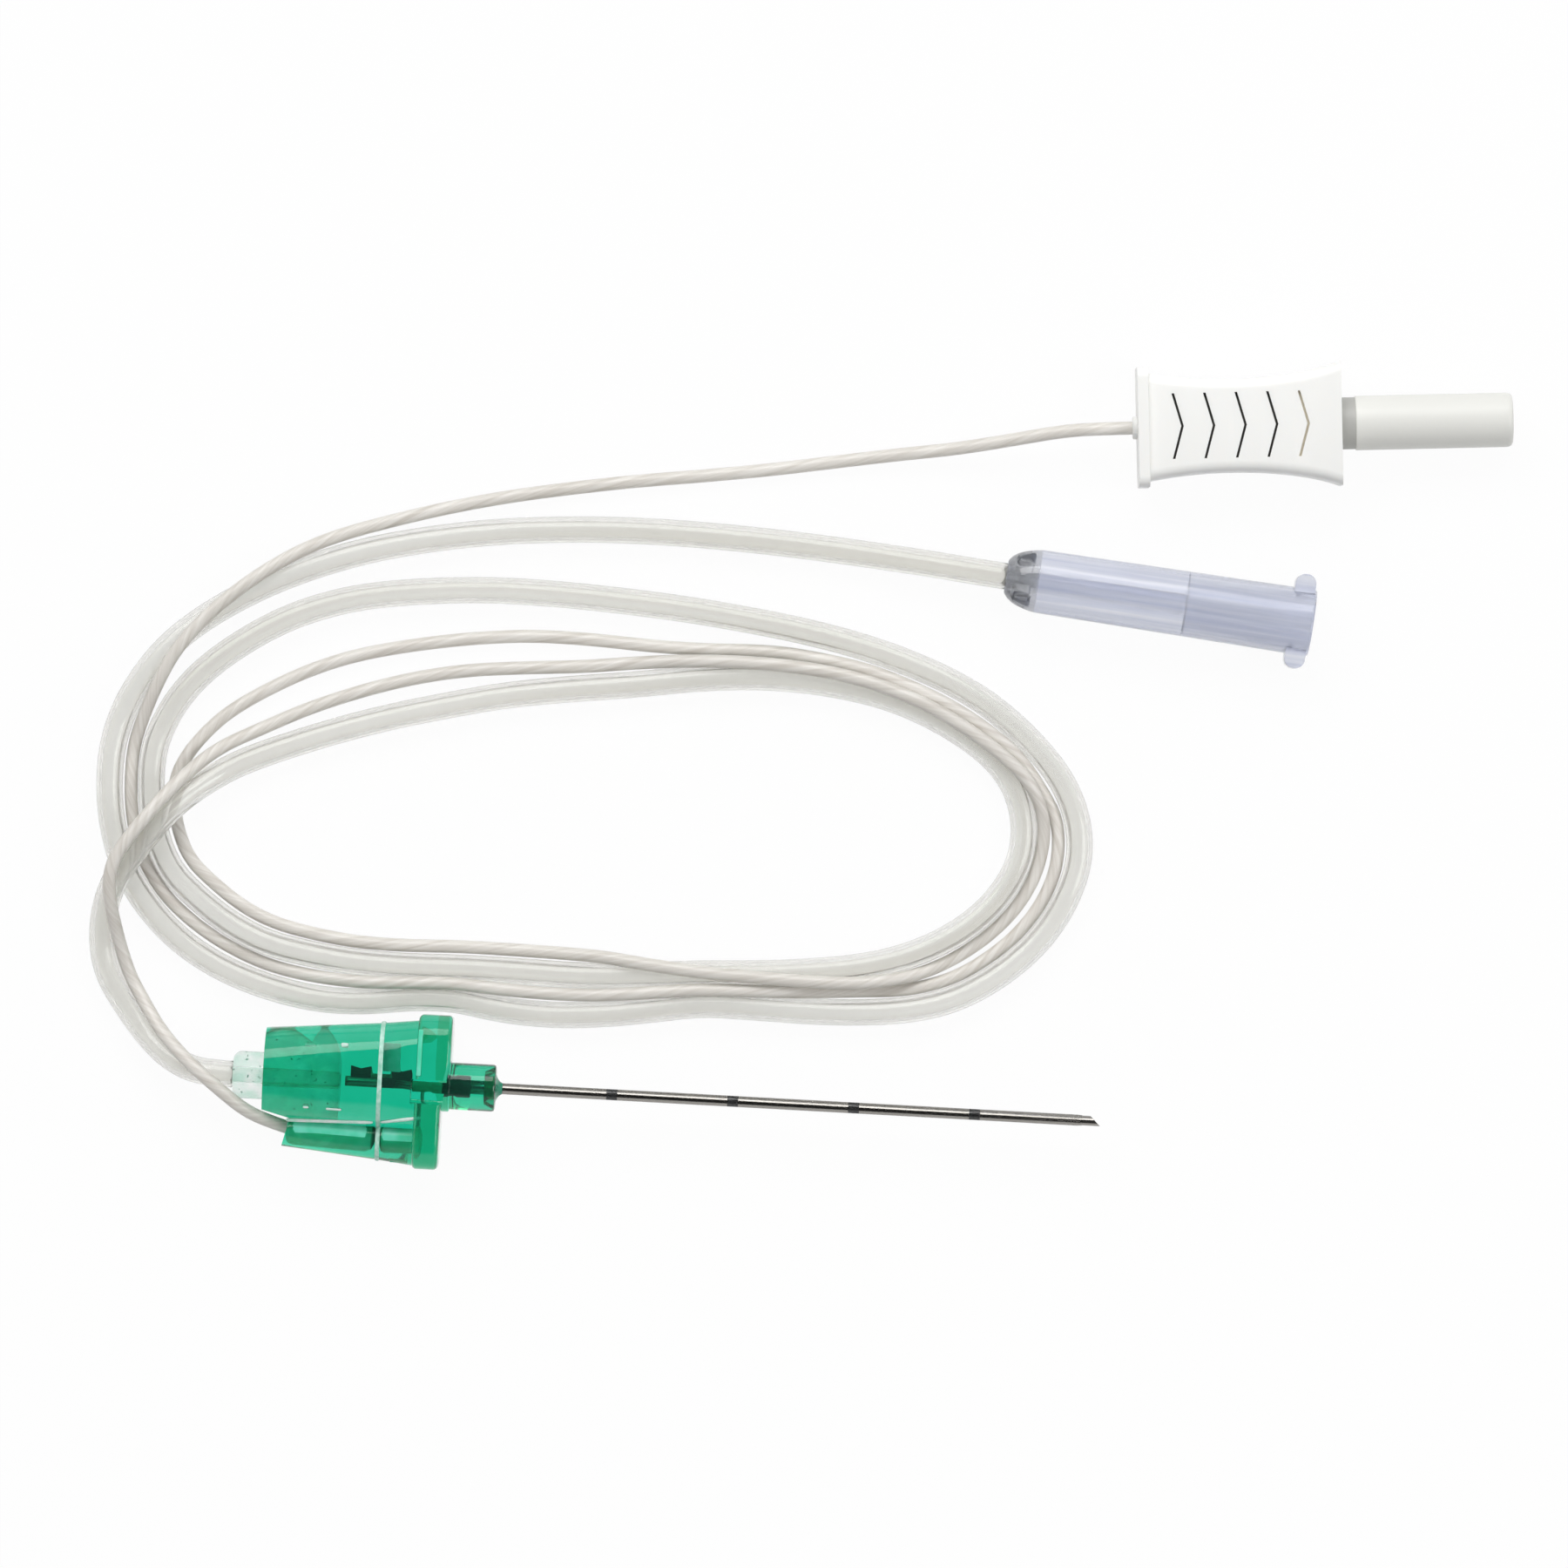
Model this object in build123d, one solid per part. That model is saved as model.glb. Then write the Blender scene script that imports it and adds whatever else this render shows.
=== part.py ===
from build123d import *
import math
import os

# A nerve block needle with its infusion tube and its stimulation lead, laid flat on a table.
# The origin is on the table, under the cannula's axis, at the middle of the hub's flat underside.
# +X runs along the cannula to its tip, +Z is up. All sizes are in millimetres.

# Cannula, 21 gauge, 50 mm out of the hub, with four depth marks under its insulating coating
axis_height = 3.8
cannula_diameter = 0.82
cannula_bore = 0.51
cannula_rear_x = -0.8
needle_length = 50.0
bevel_angle = 45.0
coating_wall = 0.05
bare_tip_length = 1.5
mark_length = 0.9
mark_depth = 0.03
mark_spacing = 10.0
mark_count = 4
first_mark_from_tip = 10.4

# Hub: a rear shell and a front shell that meet at the seam
hub_height = 7.6
hub_rear_x = -7.4
seam_x = 2.05
wing_face_x = 7.95
wing_thickness = 2.8
nose_length = 3.75
nose_radius = 1.95
nose_shoulder_radius = 2.15
near_bulge_rear = 0.25
near_bulge_seam = 1.1
near_bulge_wing = 1.65
far_bulge_rear = -0.2
far_bulge_seam = -0.1
far_bulge_wing = 0.1
rear_flank = 1.0
seam_flank = 1.6
wing_flank = 2.2
underside_trim = 0.1
bead_width = 0.35
bead_rise = 0.12
bond_gap = 0.02

# Wings at the front of the hub, with a notch between their tops
wing_near_reach = 5.8
wing_far_reach = 6.95
wing_far_lean = 0.65
wing_plan_round = 0.8
wing_end_round = 2.2
notch_near_y = 0.5
notch_width = 2.0
notch_depth = 1.7

# Boss along the hub's side, where the lead comes out
boss_start_x = -5.3
boss_start_y = -4.15
boss_start_radius = 1.35
boss_seam_y = -4.75
boss_seam_radius = 1.65
boss_end_x = 6.4
boss_end_y = -4.8
boss_end_radius = 2.1
lead_relief = 0.3

# Tube socket, glued into the hub's rear
socket_stub_radius = 1.95
socket_stub_length = 2.6
socket_stub_chamfer = 0.45
socket_neck_radius = 2.3
rear_rib_length = 3.9
rear_rib_rise = 0.45
front_rib_length = 2.3
front_rib_rise = 0.6
socket_front_radius = 1.75
lumen_radius = 0.6

# Metal inside the hub: contact sleeve, contact strip, lead conductor
contact_sleeve_wall = 0.22
contact_sleeve_start_x = 4.7
contact_sleeve_length = 4.8
strip_rear_x = -0.4
strip_leg_length = 1.6
strip_width = 0.85
strip_neck_width = 0.3
strip_thickness = 0.4
conductor_radius = 0.15
conductor_turn_x = 5.6
conductor_bend = 1.2
conductor_straight = 1.5

# Adhesive in the nose
well_depth = 1.0
well_floor_radius = 1.0
well_mouth_radius = 1.3
meniscus_length = 0.5
meniscus_radius = 0.75

# Cords
tube_radius = 1.1
lead_radius = 0.55
arc_share = 0.45

# Luer connector on the tube's end
luer_length = 25.6
luer_rear_radius = 1.45
luer_nose_length = 2.6
luer_shoulder_radius = 2.6
luer_mouth_radius = 2.8
luer_window_count = 4
luer_window_start = 0.7
luer_window_length = 1.5
luer_window_width = 1.5
luer_window_floor = 1.35
luer_lug_span = 7.86
luer_lug_length = 1.7
luer_lug_height = 3.2
luer_lug_round = 0.8
luer_lug_setback = 0.2
luer_taper_depth = 10.5
luer_taper_mouth = 2.15
luer_taper_slope = 0.03
luer_channel_radius = 0.7

# Plug on the lead's end
nub_length = 0.4
nub_radius = 0.95
rear_flange_length = 1.3
rear_flange_half = 4.95
front_flange_length = 1.0
front_flange_half = 5.15
grip_length = 16.8
grip_rear_half = 4.5
grip_waist_half = 3.9
grip_front_half = 5.0
grip_thickness = 5.2
grip_edge_round = 0.9
flange_thickness = 6.0
chevron_count = 5
chevron_start = 2.8
chevron_pitch = 2.6
chevron_half = 2.7
chevron_lean = 0.75
chevron_line = 0.3
chevron_depth = 0.35
sleeve_length = 14.2
sleeve_radius = 2.25
sleeve_neck_length = 1.2
sleeve_neck_radius = 2.1
sleeve_end_round = 0.33
contact_radius = 1.4
contact_recess = 0.4
recess_radius = 1.25
socket_bore_radius = 1.0
socket_bore_depth = 10.5
contact_tail_radius = 0.9
contact_tail_length = 5.2
crimp_depth = 2.5

# Sizes that follow from those above. The hub's sides stand out past half its height.
near_side_rear = hub_height / 2 + near_bulge_rear
near_side_seam = hub_height / 2 + near_bulge_seam
near_side_wing = hub_height / 2 + near_bulge_wing
far_side_rear = hub_height / 2 + far_bulge_rear
far_side_seam = hub_height / 2 + far_bulge_seam
far_side_wing = hub_height / 2 + far_bulge_wing
nose_face_x = wing_face_x + nose_length
tip_x = nose_face_x + needle_length
wing_x = wing_face_x - wing_thickness
cannula_radius = cannula_diameter / 2
coating_radius = cannula_radius + coating_wall
coating_start_x = nose_face_x + meniscus_length
stub_end_x = hub_rear_x - socket_stub_length

# The cords' routes, from the hub to the connector and to the plug

tube_route = [
    (-10, 0, 3.8), (-11.85, 0, 3.8), (-13.8, 0.3, 3.4), (-15.7, 1.3, 2.6), (-17.5, 2.95, 1.65),
    (-19.35, 5.2, 1.15), (-21, 7.65, 1.1), (-21.6, 10.15, 1.2), (-21.55, 12.55, 1.95),
    (-21.05, 14.6, 2.95), (-20.25, 16.4, 3.45), (-19.05, 18.15, 3.5), (-17.45, 20.45, 3.5),
    (-15.6, 22.5, 2.9), (-13.45, 24.2, 1.7), (-11.1, 25.65, 1.1), (-7.85, 27.05, 1.1),
    (-3.85, 28.55, 1.1), (0.75, 30.05, 1.1), (5.75, 31.35, 1.1), (10.7, 32.5, 1.1), (15.7, 33.25, 1.1),
    (21.1, 33.9, 1.1), (26.45, 34.75, 1.1), (31.1, 35.15, 1.1), (35.45, 35.1, 1.1), (39.05, 34.7, 1.1),
    (42.35, 34.05, 1.1), (45.65, 32.9, 1.1), (48.8, 31.3, 1.1), (51.6, 29.35, 1.1), (53.4, 26.95, 1.1),
    (54.25, 24, 1.1), (54, 21, 1.1), (52.55, 18.15, 1.1), (50.4, 15.8, 1.1), (47.75, 13.95, 1.1),
    (44.6, 12.5, 1.1), (41.05, 11.55, 1.1), (36.75, 10.95, 1.1), (32.1, 10.55, 1.1), (27.8, 10.35, 1.1),
    (23.5, 9.95, 1.1), (18.45, 9.6, 1.1), (13.4, 9.7, 1.1), (8.35, 9.75, 1.1), (3.3, 9.6, 1.1),
    (-1, 9.75, 1.1), (-5, 10.3, 1.1), (-8.3, 11, 1.1), (-11.4, 12.5, 1.1), (-14.15, 14.5, 1.1),
    (-16.15, 16.35, 1.1), (-17.45, 18.8, 1.1), (-18.1, 21.75, 1.1), (-18.3, 24.6, 1.1),
    (-18.05, 27.15, 1.1), (-16.9, 29.95, 1.1), (-15.2, 32.35, 1.1), (-13, 34.45, 1.1),
    (-9.7, 36.8, 1.1), (-6.2, 38.6, 1.1), (-1.95, 39.95, 1.1), (3.05, 40.7, 1.1), (8.8, 41.15, 1.1),
    (14.55, 41.1, 1.1), (20.35, 40.8, 1.1), (25.4, 40.4, 1.1), (29.75, 39.9, 1.1), (33.75, 39.35, 1.1),
    (37.4, 38.7, 1.1), (41.05, 37.85, 1.1), (44.7, 36.7, 1.1), (48.05, 35.35, 1.1), (51.2, 33.6, 1.1),
    (54.4, 31, 1.1), (57, 28.15, 1.1), (58.55, 25.05, 1.1), (59, 21.5, 1.1), (57.9, 17.75, 1.1),
    (55.85, 14.4, 1.1), (52.8, 11.5, 1.1), (49.3, 9.35, 1.1), (45.55, 8.25, 1.1), (41.25, 7.8, 1.1),
    (36.95, 7.7, 1.1), (32.6, 7.8, 1.1), (28.25, 7.85, 1.1), (24, 7.1, 1.1), (19.7, 6.45, 1.1),
    (15.05, 6.2, 1.1), (11.05, 6.55, 1.1), (7.8, 7.15, 1.1), (4.2, 7.05, 1.1), (0.6, 6.5, 1.1),
    (-3.35, 6.45, 1.1), (-7.7, 7.25, 1.1), (-11.75, 8.65, 1.1), (-15.35, 10.8, 1.1), (-18.2, 13.6, 1.1),
    (-20.35, 16.9, 1.1), (-21.4, 20.45, 1.1), (-21.75, 23.7, 1.1), (-21.6, 26.95, 1.1),
    (-20.7, 30, 1.1), (-19.25, 32.7, 1.1), (-17.3, 35.25, 1.1), (-14.45, 37.7, 1.1), (-10.6, 40.1, 1.1),
    (-6.75, 41.95, 1.1), (-2.15, 43.65, 1.1), (2.85, 44.9, 1.1), (8.55, 45.9, 1.1), (14.3, 46.45, 1.1),
    (20.05, 46.7, 1.1), (25.8, 46.65, 1.1), (31.55, 46.4, 1.1), (36.6, 46.05, 1.1), (41.2, 45.65, 1.4),
    (45.7, 45.2, 2.3), (48.95, 44.8, 2.8), (51.5, 44.55, 2.8),
]
lead_route = [
    (-5.3, -4.15, 3.8), (-7.15, -3.65, 3.8), (-8.95, -2.85, 4.55), (-10.75, -1.5, 5.25), (-12.75, 0.05, 5.5),
    (-14.6, 1.65, 4.7), (-16.3, 3.4, 3.4), (-17.65, 5.35, 2.35), (-19.05, 7.55, 1.75), (-19.9, 9.8, 2.3),
    (-20.45, 11.75, 3.4), (-20.9, 13.6, 4.5), (-21.1, 15.45, 5.15), (-20.75, 17.25, 5.3),
    (-19.65, 19.05, 5.25), (-18.2, 21.05, 5), (-16.45, 23.25, 4.35), (-14.7, 25.15, 3),
    (-12.55, 27, 1.35), (-9.25, 28.7, 0.55), (-5.75, 30.45, 0.55), (-1.85, 32, 0.55),
    (2.4, 33.35, 0.55), (7, 34.35, 0.55), (12.05, 34.85, 0.55), (17.05, 35.2, 0.55), (21.7, 35.8, 1.25),
    (26.35, 36.2, 2.2), (30.85, 36.3, 2.5), (35.4, 36.1, 2.5), (39.35, 35.55, 2.7), (42.6, 34.7, 2.8),
    (45.95, 33.45, 2.85), (49.1, 31.75, 2.85), (52.1, 29.75, 2.85), (54.65, 27.5, 2.5),
    (55.95, 24.35, 1.25), (55.6, 20.55, 0.55), (54.05, 17.3, 0.55), (51.6, 14.6, 0.55),
    (48.7, 12.5, 0.55), (45.95, 11.2, 1.05), (43.25, 10.55, 2.15), (40.25, 10.2, 2.5),
    (36.8, 10.2, 2.75), (32.1, 10.3, 2.85), (27.75, 10.5, 2.85), (23.4, 10.9, 2.7), (20, 11.3, 1.75),
    (16.55, 11.4, 0.7), (12.6, 11.45, 0.55), (8.25, 11.5, 0.55), (3.25, 11.3, 0.55),
    (-0.75, 11.4, 0.55), (-4.6, 11.95, 0.55), (-7.8, 12.7, 0.55), (-10.45, 14, 0.55), (-13, 15.9, 0.55),
    (-14.75, 17.5, 0.55), (-15.8, 19.7, 0.55), (-16.3, 22.05, 0.55), (-16.3, 24.15, 0.55),
    (-15.5, 26.05, 0.55), (-14.1, 27.95, 0.55), (-12.2, 29.85, 0.55), (-9.4, 31.7, 0.55),
    (-5.9, 33.6, 0.55), (-2.05, 35.1, 0.55), (2.6, 36.2, 0.55), (7.6, 37.05, 0.55), (12.6, 37.55, 0.55),
    (17.65, 37.5, 0.55), (22.7, 37.2, 0.55), (27.05, 37.15, 0.55), (30.65, 37.3, 0.55),
    (33.85, 37.25, 0.65), (37.3, 36.8, 1.1), (40.65, 36.2, 1.85), (44.1, 35.05, 2), (47.3, 33.75, 2.05),
    (50.5, 31.95, 2.05), (53.35, 29.8, 1.85), (55.4, 27.15, 0.8), (57, 24.55, 0.55), (57.15, 21, 0.55),
    (56.1, 17.85, 0.55), (54.15, 15, 0.55), (51.5, 12.65, 0.55), (48.65, 10.9, 0.55),
    (45.1, 9.85, 0.55), (41.15, 9.6, 0.75), (36.85, 9.3, 1.8), (32.55, 9.15, 2.2), (28.2, 9.05, 2.35),
    (23.9, 8.55, 2.1), (19.6, 8.05, 1.65), (14.95, 8, 1.8), (10.95, 8.2, 2.15), (7.7, 8.45, 2.35),
    (4.1, 8.3, 2.35), (0.5, 8.1, 1.95), (-3.45, 8.3, 1.25), (-7.65, 9, 0.6), (-11.45, 10.55, 0.6),
    (-14.8, 12.7, 0.6), (-17.2, 15, 0.6), (-18.9, 17.85, 0.6), (-19.75, 20.9, 0.6), (-20, 24.15, 0.6),
    (-19.85, 26.9, 0.6), (-19.05, 29.45, 1.6), (-18.15, 31.8, 2.4), (-16.85, 34.55, 2.85),
    (-14.9, 37.1, 2.85), (-12.7, 39.3, 2.8), (-9.95, 41.55, 2.6), (-6.8, 43.6, 1.9),
    (-3.65, 45.05, 0.9), (0.25, 46.35, 0.55), (4.85, 47.7, 0.55), (9.8, 48.9, 0.55),
    (14.8, 49.85, 0.55), (20.5, 50.8, 0.55), (26.25, 51.55, 0.55), (31.95, 52.4, 0.55),
    (37.3, 53.35, 0.6), (42.3, 54.2, 0.9), (46.95, 54.9, 1.5), (51.4, 55.85, 2.3), (55.6, 56.8, 3),
    (58.65, 57.15, 3), (61.25, 57.35, 3),
]


hub_axis = Location((0, 0, axis_height))


def turned(profile, place):
    """Turn a profile of (along, radius) pairs about the x axis of a place."""
    return place * revolve(make_face(Polyline(*profile, close=True)), axis=Axis.X)


def tube_along(place, start, length, outer, inner):
    """A straight round tube along the x axis of a place."""
    end = start + length
    return turned([(start, inner), (start, outer), (end, outer), (end, inner)], place)


def rod_along(place, start, length, radius):
    """A straight round rod along the x axis of a place."""
    rod = Cylinder(radius, length, align=(Align.CENTER, Align.CENTER, Align.MIN))
    return place * Location((start, 0, 0), (0, 90, 0)) * rod


def place_at(point, along):
    """The place at a point, with x along a level direction."""
    return Plane(origin=point, x_dir=along, z_dir=(0, 0, 1)).location


lead_exit = place_at(Vector(*lead_route[0]), Vector(*lead_route[1]) - Vector(*lead_route[0]))
luer_place = place_at(Vector(*tube_route[-1]), Vector(*tube_route[-1]) - Vector(*tube_route[-2]))
plug_place = place_at(Vector(*lead_route[-1]), Vector(*lead_route[-1]) - Vector(*lead_route[-2]))


def cannula():
    blank = tube_along(
        hub_axis, cannula_rear_x, tip_x - cannula_rear_x, cannula_radius, cannula_bore / 2
    )
    angle = math.radians(bevel_angle)
    bevel = Plane(
        origin=(tip_x, -cannula_radius, axis_height), z_dir=(math.sin(angle), math.cos(angle), 0)
    )
    return split(blank, bisect_by=bevel, keep=Keep.BOTTOM)


def mark_starts():
    return [
        tip_x - first_mark_from_tip - mark_spacing * number - mark_length / 2
        for number in range(mark_count)
    ]


def depth_marks():
    outer = cannula_radius + mark_depth
    rings = [tube_along(hub_axis, x, mark_length, outer, cannula_radius) for x in mark_starts()]
    return Compound(children=rings)


def insulation_coating():
    length = tip_x - bare_tip_length - coating_start_x
    coating = tube_along(hub_axis, coating_start_x, length, coating_radius, cannula_radius)
    for start in mark_starts():
        coating -= rod_along(hub_axis, start, mark_length, cannula_radius + mark_depth)
    return coating


def body_section(x, near_side, far_side, flank, grow=0.0):
    """The hub's rounded section in the plane at x. It reaches a little below the underside."""
    width = near_side + far_side + 2 * grow
    height = hub_height + underside_trim + 2 * grow
    middle_y = (near_side - far_side) / 2
    middle_z = (hub_height - underside_trim) / 2
    plane = Plane(origin=(x, middle_y, middle_z), x_dir=(0, 1, 0), z_dir=(1, 0, 0))
    return plane * RectangleRounded(width, height, (hub_height - flank) / 2 + grow)


def underside_cut():
    """All that lies below the hub's flat underside."""
    return Box(*[4 * hub_height] * 3, align=(Align.CENTER, Align.CENTER, Align.MAX))


def boss_section(x, y, radius):
    plane = Plane(origin=(x, y, axis_height), x_dir=(0, 1, 0), z_dir=(1, 0, 0))
    return plane * Circle(radius)


def seam_outline(grow=0.0):
    body = body_section(seam_x, near_side_seam, far_side_seam, seam_flank, grow)
    return body + boss_section(seam_x, boss_seam_y, boss_seam_radius + grow)


def conductor_route():
    sleeve_side = cannula_radius + contact_sleeve_wall
    inside = (lead_exit * Location((-conductor_straight, 0, 0))).position
    return FilletPolyline(
        lead_route[0],
        inside,
        (seam_x, boss_seam_y, axis_height),
        (conductor_turn_x, boss_end_y, axis_height),
        (conductor_turn_x, -sleeve_side, axis_height),
        radius=[conductor_bend, conductor_bend, conductor_bend],
    )


def wire(path, radius):
    start = Plane(origin=path @ 0, z_dir=path % 0)
    return sweep(start * Circle(radius), path=path)


def lead_conductor(gap=0.0):
    return wire(conductor_route(), conductor_radius + gap)


def contact_sleeve(gap=0.0):
    outer = cannula_radius + contact_sleeve_wall + gap
    inner = 0 if gap else cannula_radius
    return tube_along(hub_axis, contact_sleeve_start_x, contact_sleeve_length, outer, inner)


def contact_strip(gap=0.0):
    """A flat strip beside the cannula: two wide legs joined by a narrow neck."""
    base = cannula_radius
    length = contact_sleeve_start_x - strip_rear_x
    outline = Rectangle(length, strip_neck_width, align=Align.MIN)
    leg = Rectangle(strip_leg_length, strip_width, align=Align.MIN)
    outline += leg
    outline += Location((length - strip_leg_length, 0)) * leg
    if gap:
        outline = offset(outline, gap, kind=Kind.INTERSECTION)
    flat = extrude(outline, strip_thickness / 2 + gap, both=True)
    return Location((strip_rear_x, base, axis_height)) * flat


def socket_ribs(gap=0.0):
    """The outline of the socket's two round ribs, from the hub's rear to the socket's front."""
    neck = socket_neck_radius + gap
    between_x = hub_rear_x + rear_rib_length
    front_x = between_x + front_rib_length
    return [
        ThreePointArc(
            (hub_rear_x, neck), (hub_rear_x + rear_rib_length / 2, neck + rear_rib_rise),
            (between_x, neck),
        ),
        ThreePointArc(
            (between_x, neck), (between_x + front_rib_length * 0.4, neck + front_rib_rise),
            (front_x, socket_front_radius + gap),
        ),
    ]


def tube_socket():
    front_x = hub_rear_x + rear_rib_length + front_rib_length
    inside = Polyline(
        (front_x, socket_front_radius),
        (front_x, lumen_radius),
        (stub_end_x, lumen_radius),
        (stub_end_x, socket_stub_radius - socket_stub_chamfer),
        (stub_end_x + socket_stub_chamfer, socket_stub_radius),
        (hub_rear_x, socket_stub_radius),
        (hub_rear_x, socket_neck_radius),
    )
    return hub_axis * revolve(make_face([*socket_ribs(), inside]), axis=Axis.X)


def socket_pocket():
    """The hub's pocket for the socket, and the fluid chamber behind the cannula."""
    front_x = hub_rear_x + rear_rib_length + front_rib_length
    rest = Polyline(
        (front_x, socket_front_radius + bond_gap),
        (front_x, lumen_radius),
        (cannula_rear_x, lumen_radius),
        (cannula_rear_x, 0),
        (hub_rear_x, 0),
        (hub_rear_x, socket_neck_radius + bond_gap),
    )
    return hub_axis * revolve(make_face([*socket_ribs(bond_gap), rest]), axis=Axis.X)


def lead_cut():
    """The space behind the boss: its near side leaves the lead room along the hub."""
    reach = 2 * hub_height
    side = lead_radius + lead_relief
    block = Box(reach, reach, reach, align=(Align.MIN, Align.MIN, Align.CENTER))
    return lead_exit * Location((0, -side, 0)) * block


def hub_rear():
    body = loft([
        body_section(hub_rear_x, near_side_rear, far_side_rear, rear_flank),
        body_section(seam_x, near_side_seam, far_side_seam, seam_flank),
    ])
    boss_back_x = boss_start_x - 2 * boss_start_radius
    boss = loft([
        boss_section(boss_back_x, boss_start_y, boss_start_radius),
        boss_section(seam_x, boss_seam_y, boss_seam_radius),
    ])
    shell = body + boss - lead_cut() - underside_cut()
    shell -= socket_pocket()
    shell -= rod_along(hub_axis, cannula_rear_x, seam_x - cannula_rear_x, cannula_radius)
    shell -= contact_strip(bond_gap)
    return shell - lead_conductor(bond_gap)


def wing_plate():
    """The wings: a plate across the hub, its far half leaning back a little."""
    near, far = wing_near_reach, wing_far_reach
    plan = make_face(Polyline(
        (wing_x, -far),
        (wing_x, near),
        (wing_face_x, near),
        (wing_face_x, nose_radius),
        (wing_face_x - wing_far_lean, -nose_radius),
        (wing_face_x - wing_far_lean, -far),
        close=True,
    ))
    ends = plan.vertices().filter_by(lambda v: abs(v.Y) > nose_radius + 0.1)
    plan = fillet(ends, wing_plan_round)
    plate = extrude(plan, hub_height)
    middle_y = (near - far) / 2
    across = Plane(
        origin=(wing_x - wing_thickness, middle_y, hub_height / 2), x_dir=(0, 1, 0), z_dir=(1, 0, 0)
    )
    envelope = across * RectangleRounded(near + far, hub_height, wing_end_round)
    return plate & extrude(envelope, 3 * wing_thickness)


def nose_well():
    start = nose_face_x - well_depth
    profile = [
        (start, 0), (start, well_floor_radius), (nose_face_x, well_mouth_radius), (nose_face_x, 0)
    ]
    return turned(profile, hub_axis)


def hub_front():
    body = loft([
        body_section(seam_x, near_side_seam, far_side_seam, seam_flank),
        body_section(wing_x + wing_thickness / 2, near_side_wing, far_side_wing, wing_flank),
    ])
    boss = loft([
        boss_section(seam_x, boss_seam_y, boss_seam_radius),
        boss_section(boss_end_x, boss_end_y, boss_end_radius),
    ])
    bead = extrude(seam_outline(bead_rise), bead_width)
    nose = rod_along(hub_axis, wing_x, nose_face_x - wing_x, nose_radius)
    shoulder = rod_along(hub_axis, wing_x, wing_thickness, nose_shoulder_radius)
    shell = body + boss + bead + wing_plate() + nose + shoulder - underside_cut()
    notch = Box(wing_thickness * 2, notch_width, notch_depth, align=(Align.MIN, Align.MAX, Align.MAX))
    shell -= Location((wing_x, notch_near_y, hub_height)) * notch
    shell -= rod_along(hub_axis, seam_x, nose_face_x - seam_x, cannula_radius)
    shell -= nose_well()
    shell -= contact_sleeve(bond_gap)
    shell -= contact_strip(bond_gap)
    return shell - lead_conductor(bond_gap)


def nose_adhesive():
    start = nose_face_x - well_depth
    profile = [
        (start, cannula_radius),
        (start, well_floor_radius),
        (nose_face_x, well_mouth_radius),
        (nose_face_x, meniscus_radius),
        (coating_start_x, coating_radius),
        (coating_start_x, cannula_radius),
    ]
    return turned(profile, hub_axis)


def corner_radii(route):
    """For each corner, a share of the shorter run over the tangent of half the turn."""
    radii = []
    for before, corner, after in zip(route, route[1:], route[2:]):
        into = Vector(*corner) - Vector(*before)
        away = Vector(*after) - Vector(*corner)
        half_turn = math.radians(into.get_angle(away)) / 2
        radii.append(arc_share * min(into.length, away.length) / math.tan(half_turn))
    return radii


def cord(name, route, radius):
    """Straight runs joined by tangent arcs. Prints its tightest arcs, and its volume twice."""
    radii = corner_radii(route)
    path = FilletPolyline(*route, radius=radii)
    solid = wire(path, radius)
    section = math.pi * radius**2
    tightest = ", ".join(f"{value:.1f}" for value in sorted(radii)[:5])
    print(f"{name}: {path.length:.1f} long, smallest radii {tightest}")
    print(f"{name}: volume {solid.volume:.1f}, section times length {section * path.length:.1f}")
    return solid


def luer_connector():
    shoulder = luer_nose_length
    arc = ThreePointArc(
        (0, luer_rear_radius),
        (shoulder * 0.45, (luer_rear_radius + luer_shoulder_radius) / 2 + 0.2),
        (shoulder, luer_shoulder_radius),
    )
    rest = Polyline(
        (shoulder, luer_shoulder_radius),
        (luer_length, luer_mouth_radius),
        (luer_length, 0),
        (0, 0),
        (0, luer_rear_radius),
    )
    body = luer_place * revolve(make_face([arc, rest]), axis=Axis.X)
    lug = RectangleRounded(luer_lug_length, luer_lug_span, luer_lug_round)
    lug_middle = luer_length - luer_lug_setback - luer_lug_length / 2
    lug = extrude(Location((lug_middle, 0)) * lug, luer_lug_height / 2, both=True)
    body += luer_place * lug
    window = Box(
        luer_window_length, luer_window_width, luer_mouth_radius,
        align=(Align.MIN, Align.CENTER, Align.MIN),
    )
    for number in range(luer_window_count):
        turn = Location((0, 0, 0), (360 * (number + 0.5) / luer_window_count, 0, 0))
        body -= luer_place * turn * Location((luer_window_start, 0, luer_window_floor)) * window
    taper_floor = luer_taper_mouth - luer_taper_slope * luer_taper_depth
    taper_start = luer_length - luer_taper_depth
    bore = [
        (0, 0),
        (0, luer_channel_radius),
        (taper_start, luer_channel_radius),
        (taper_start, taper_floor),
        (luer_length, luer_taper_mouth),
        (luer_length, 0),
    ]
    return body - turned(bore, luer_place)


def chevrons():
    lines = []
    for number in range(chevron_count):
        start = nub_length + chevron_start + chevron_pitch * number
        outline = Polyline(
            (start, chevron_half),
            (start + chevron_lean, 0),
            (start, -chevron_half),
            (start + chevron_line, -chevron_half),
            (start + chevron_lean + chevron_line, 0),
            (start + chevron_line, chevron_half),
            close=True,
        )
        lines.append(make_face(outline))
    return lines


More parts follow.
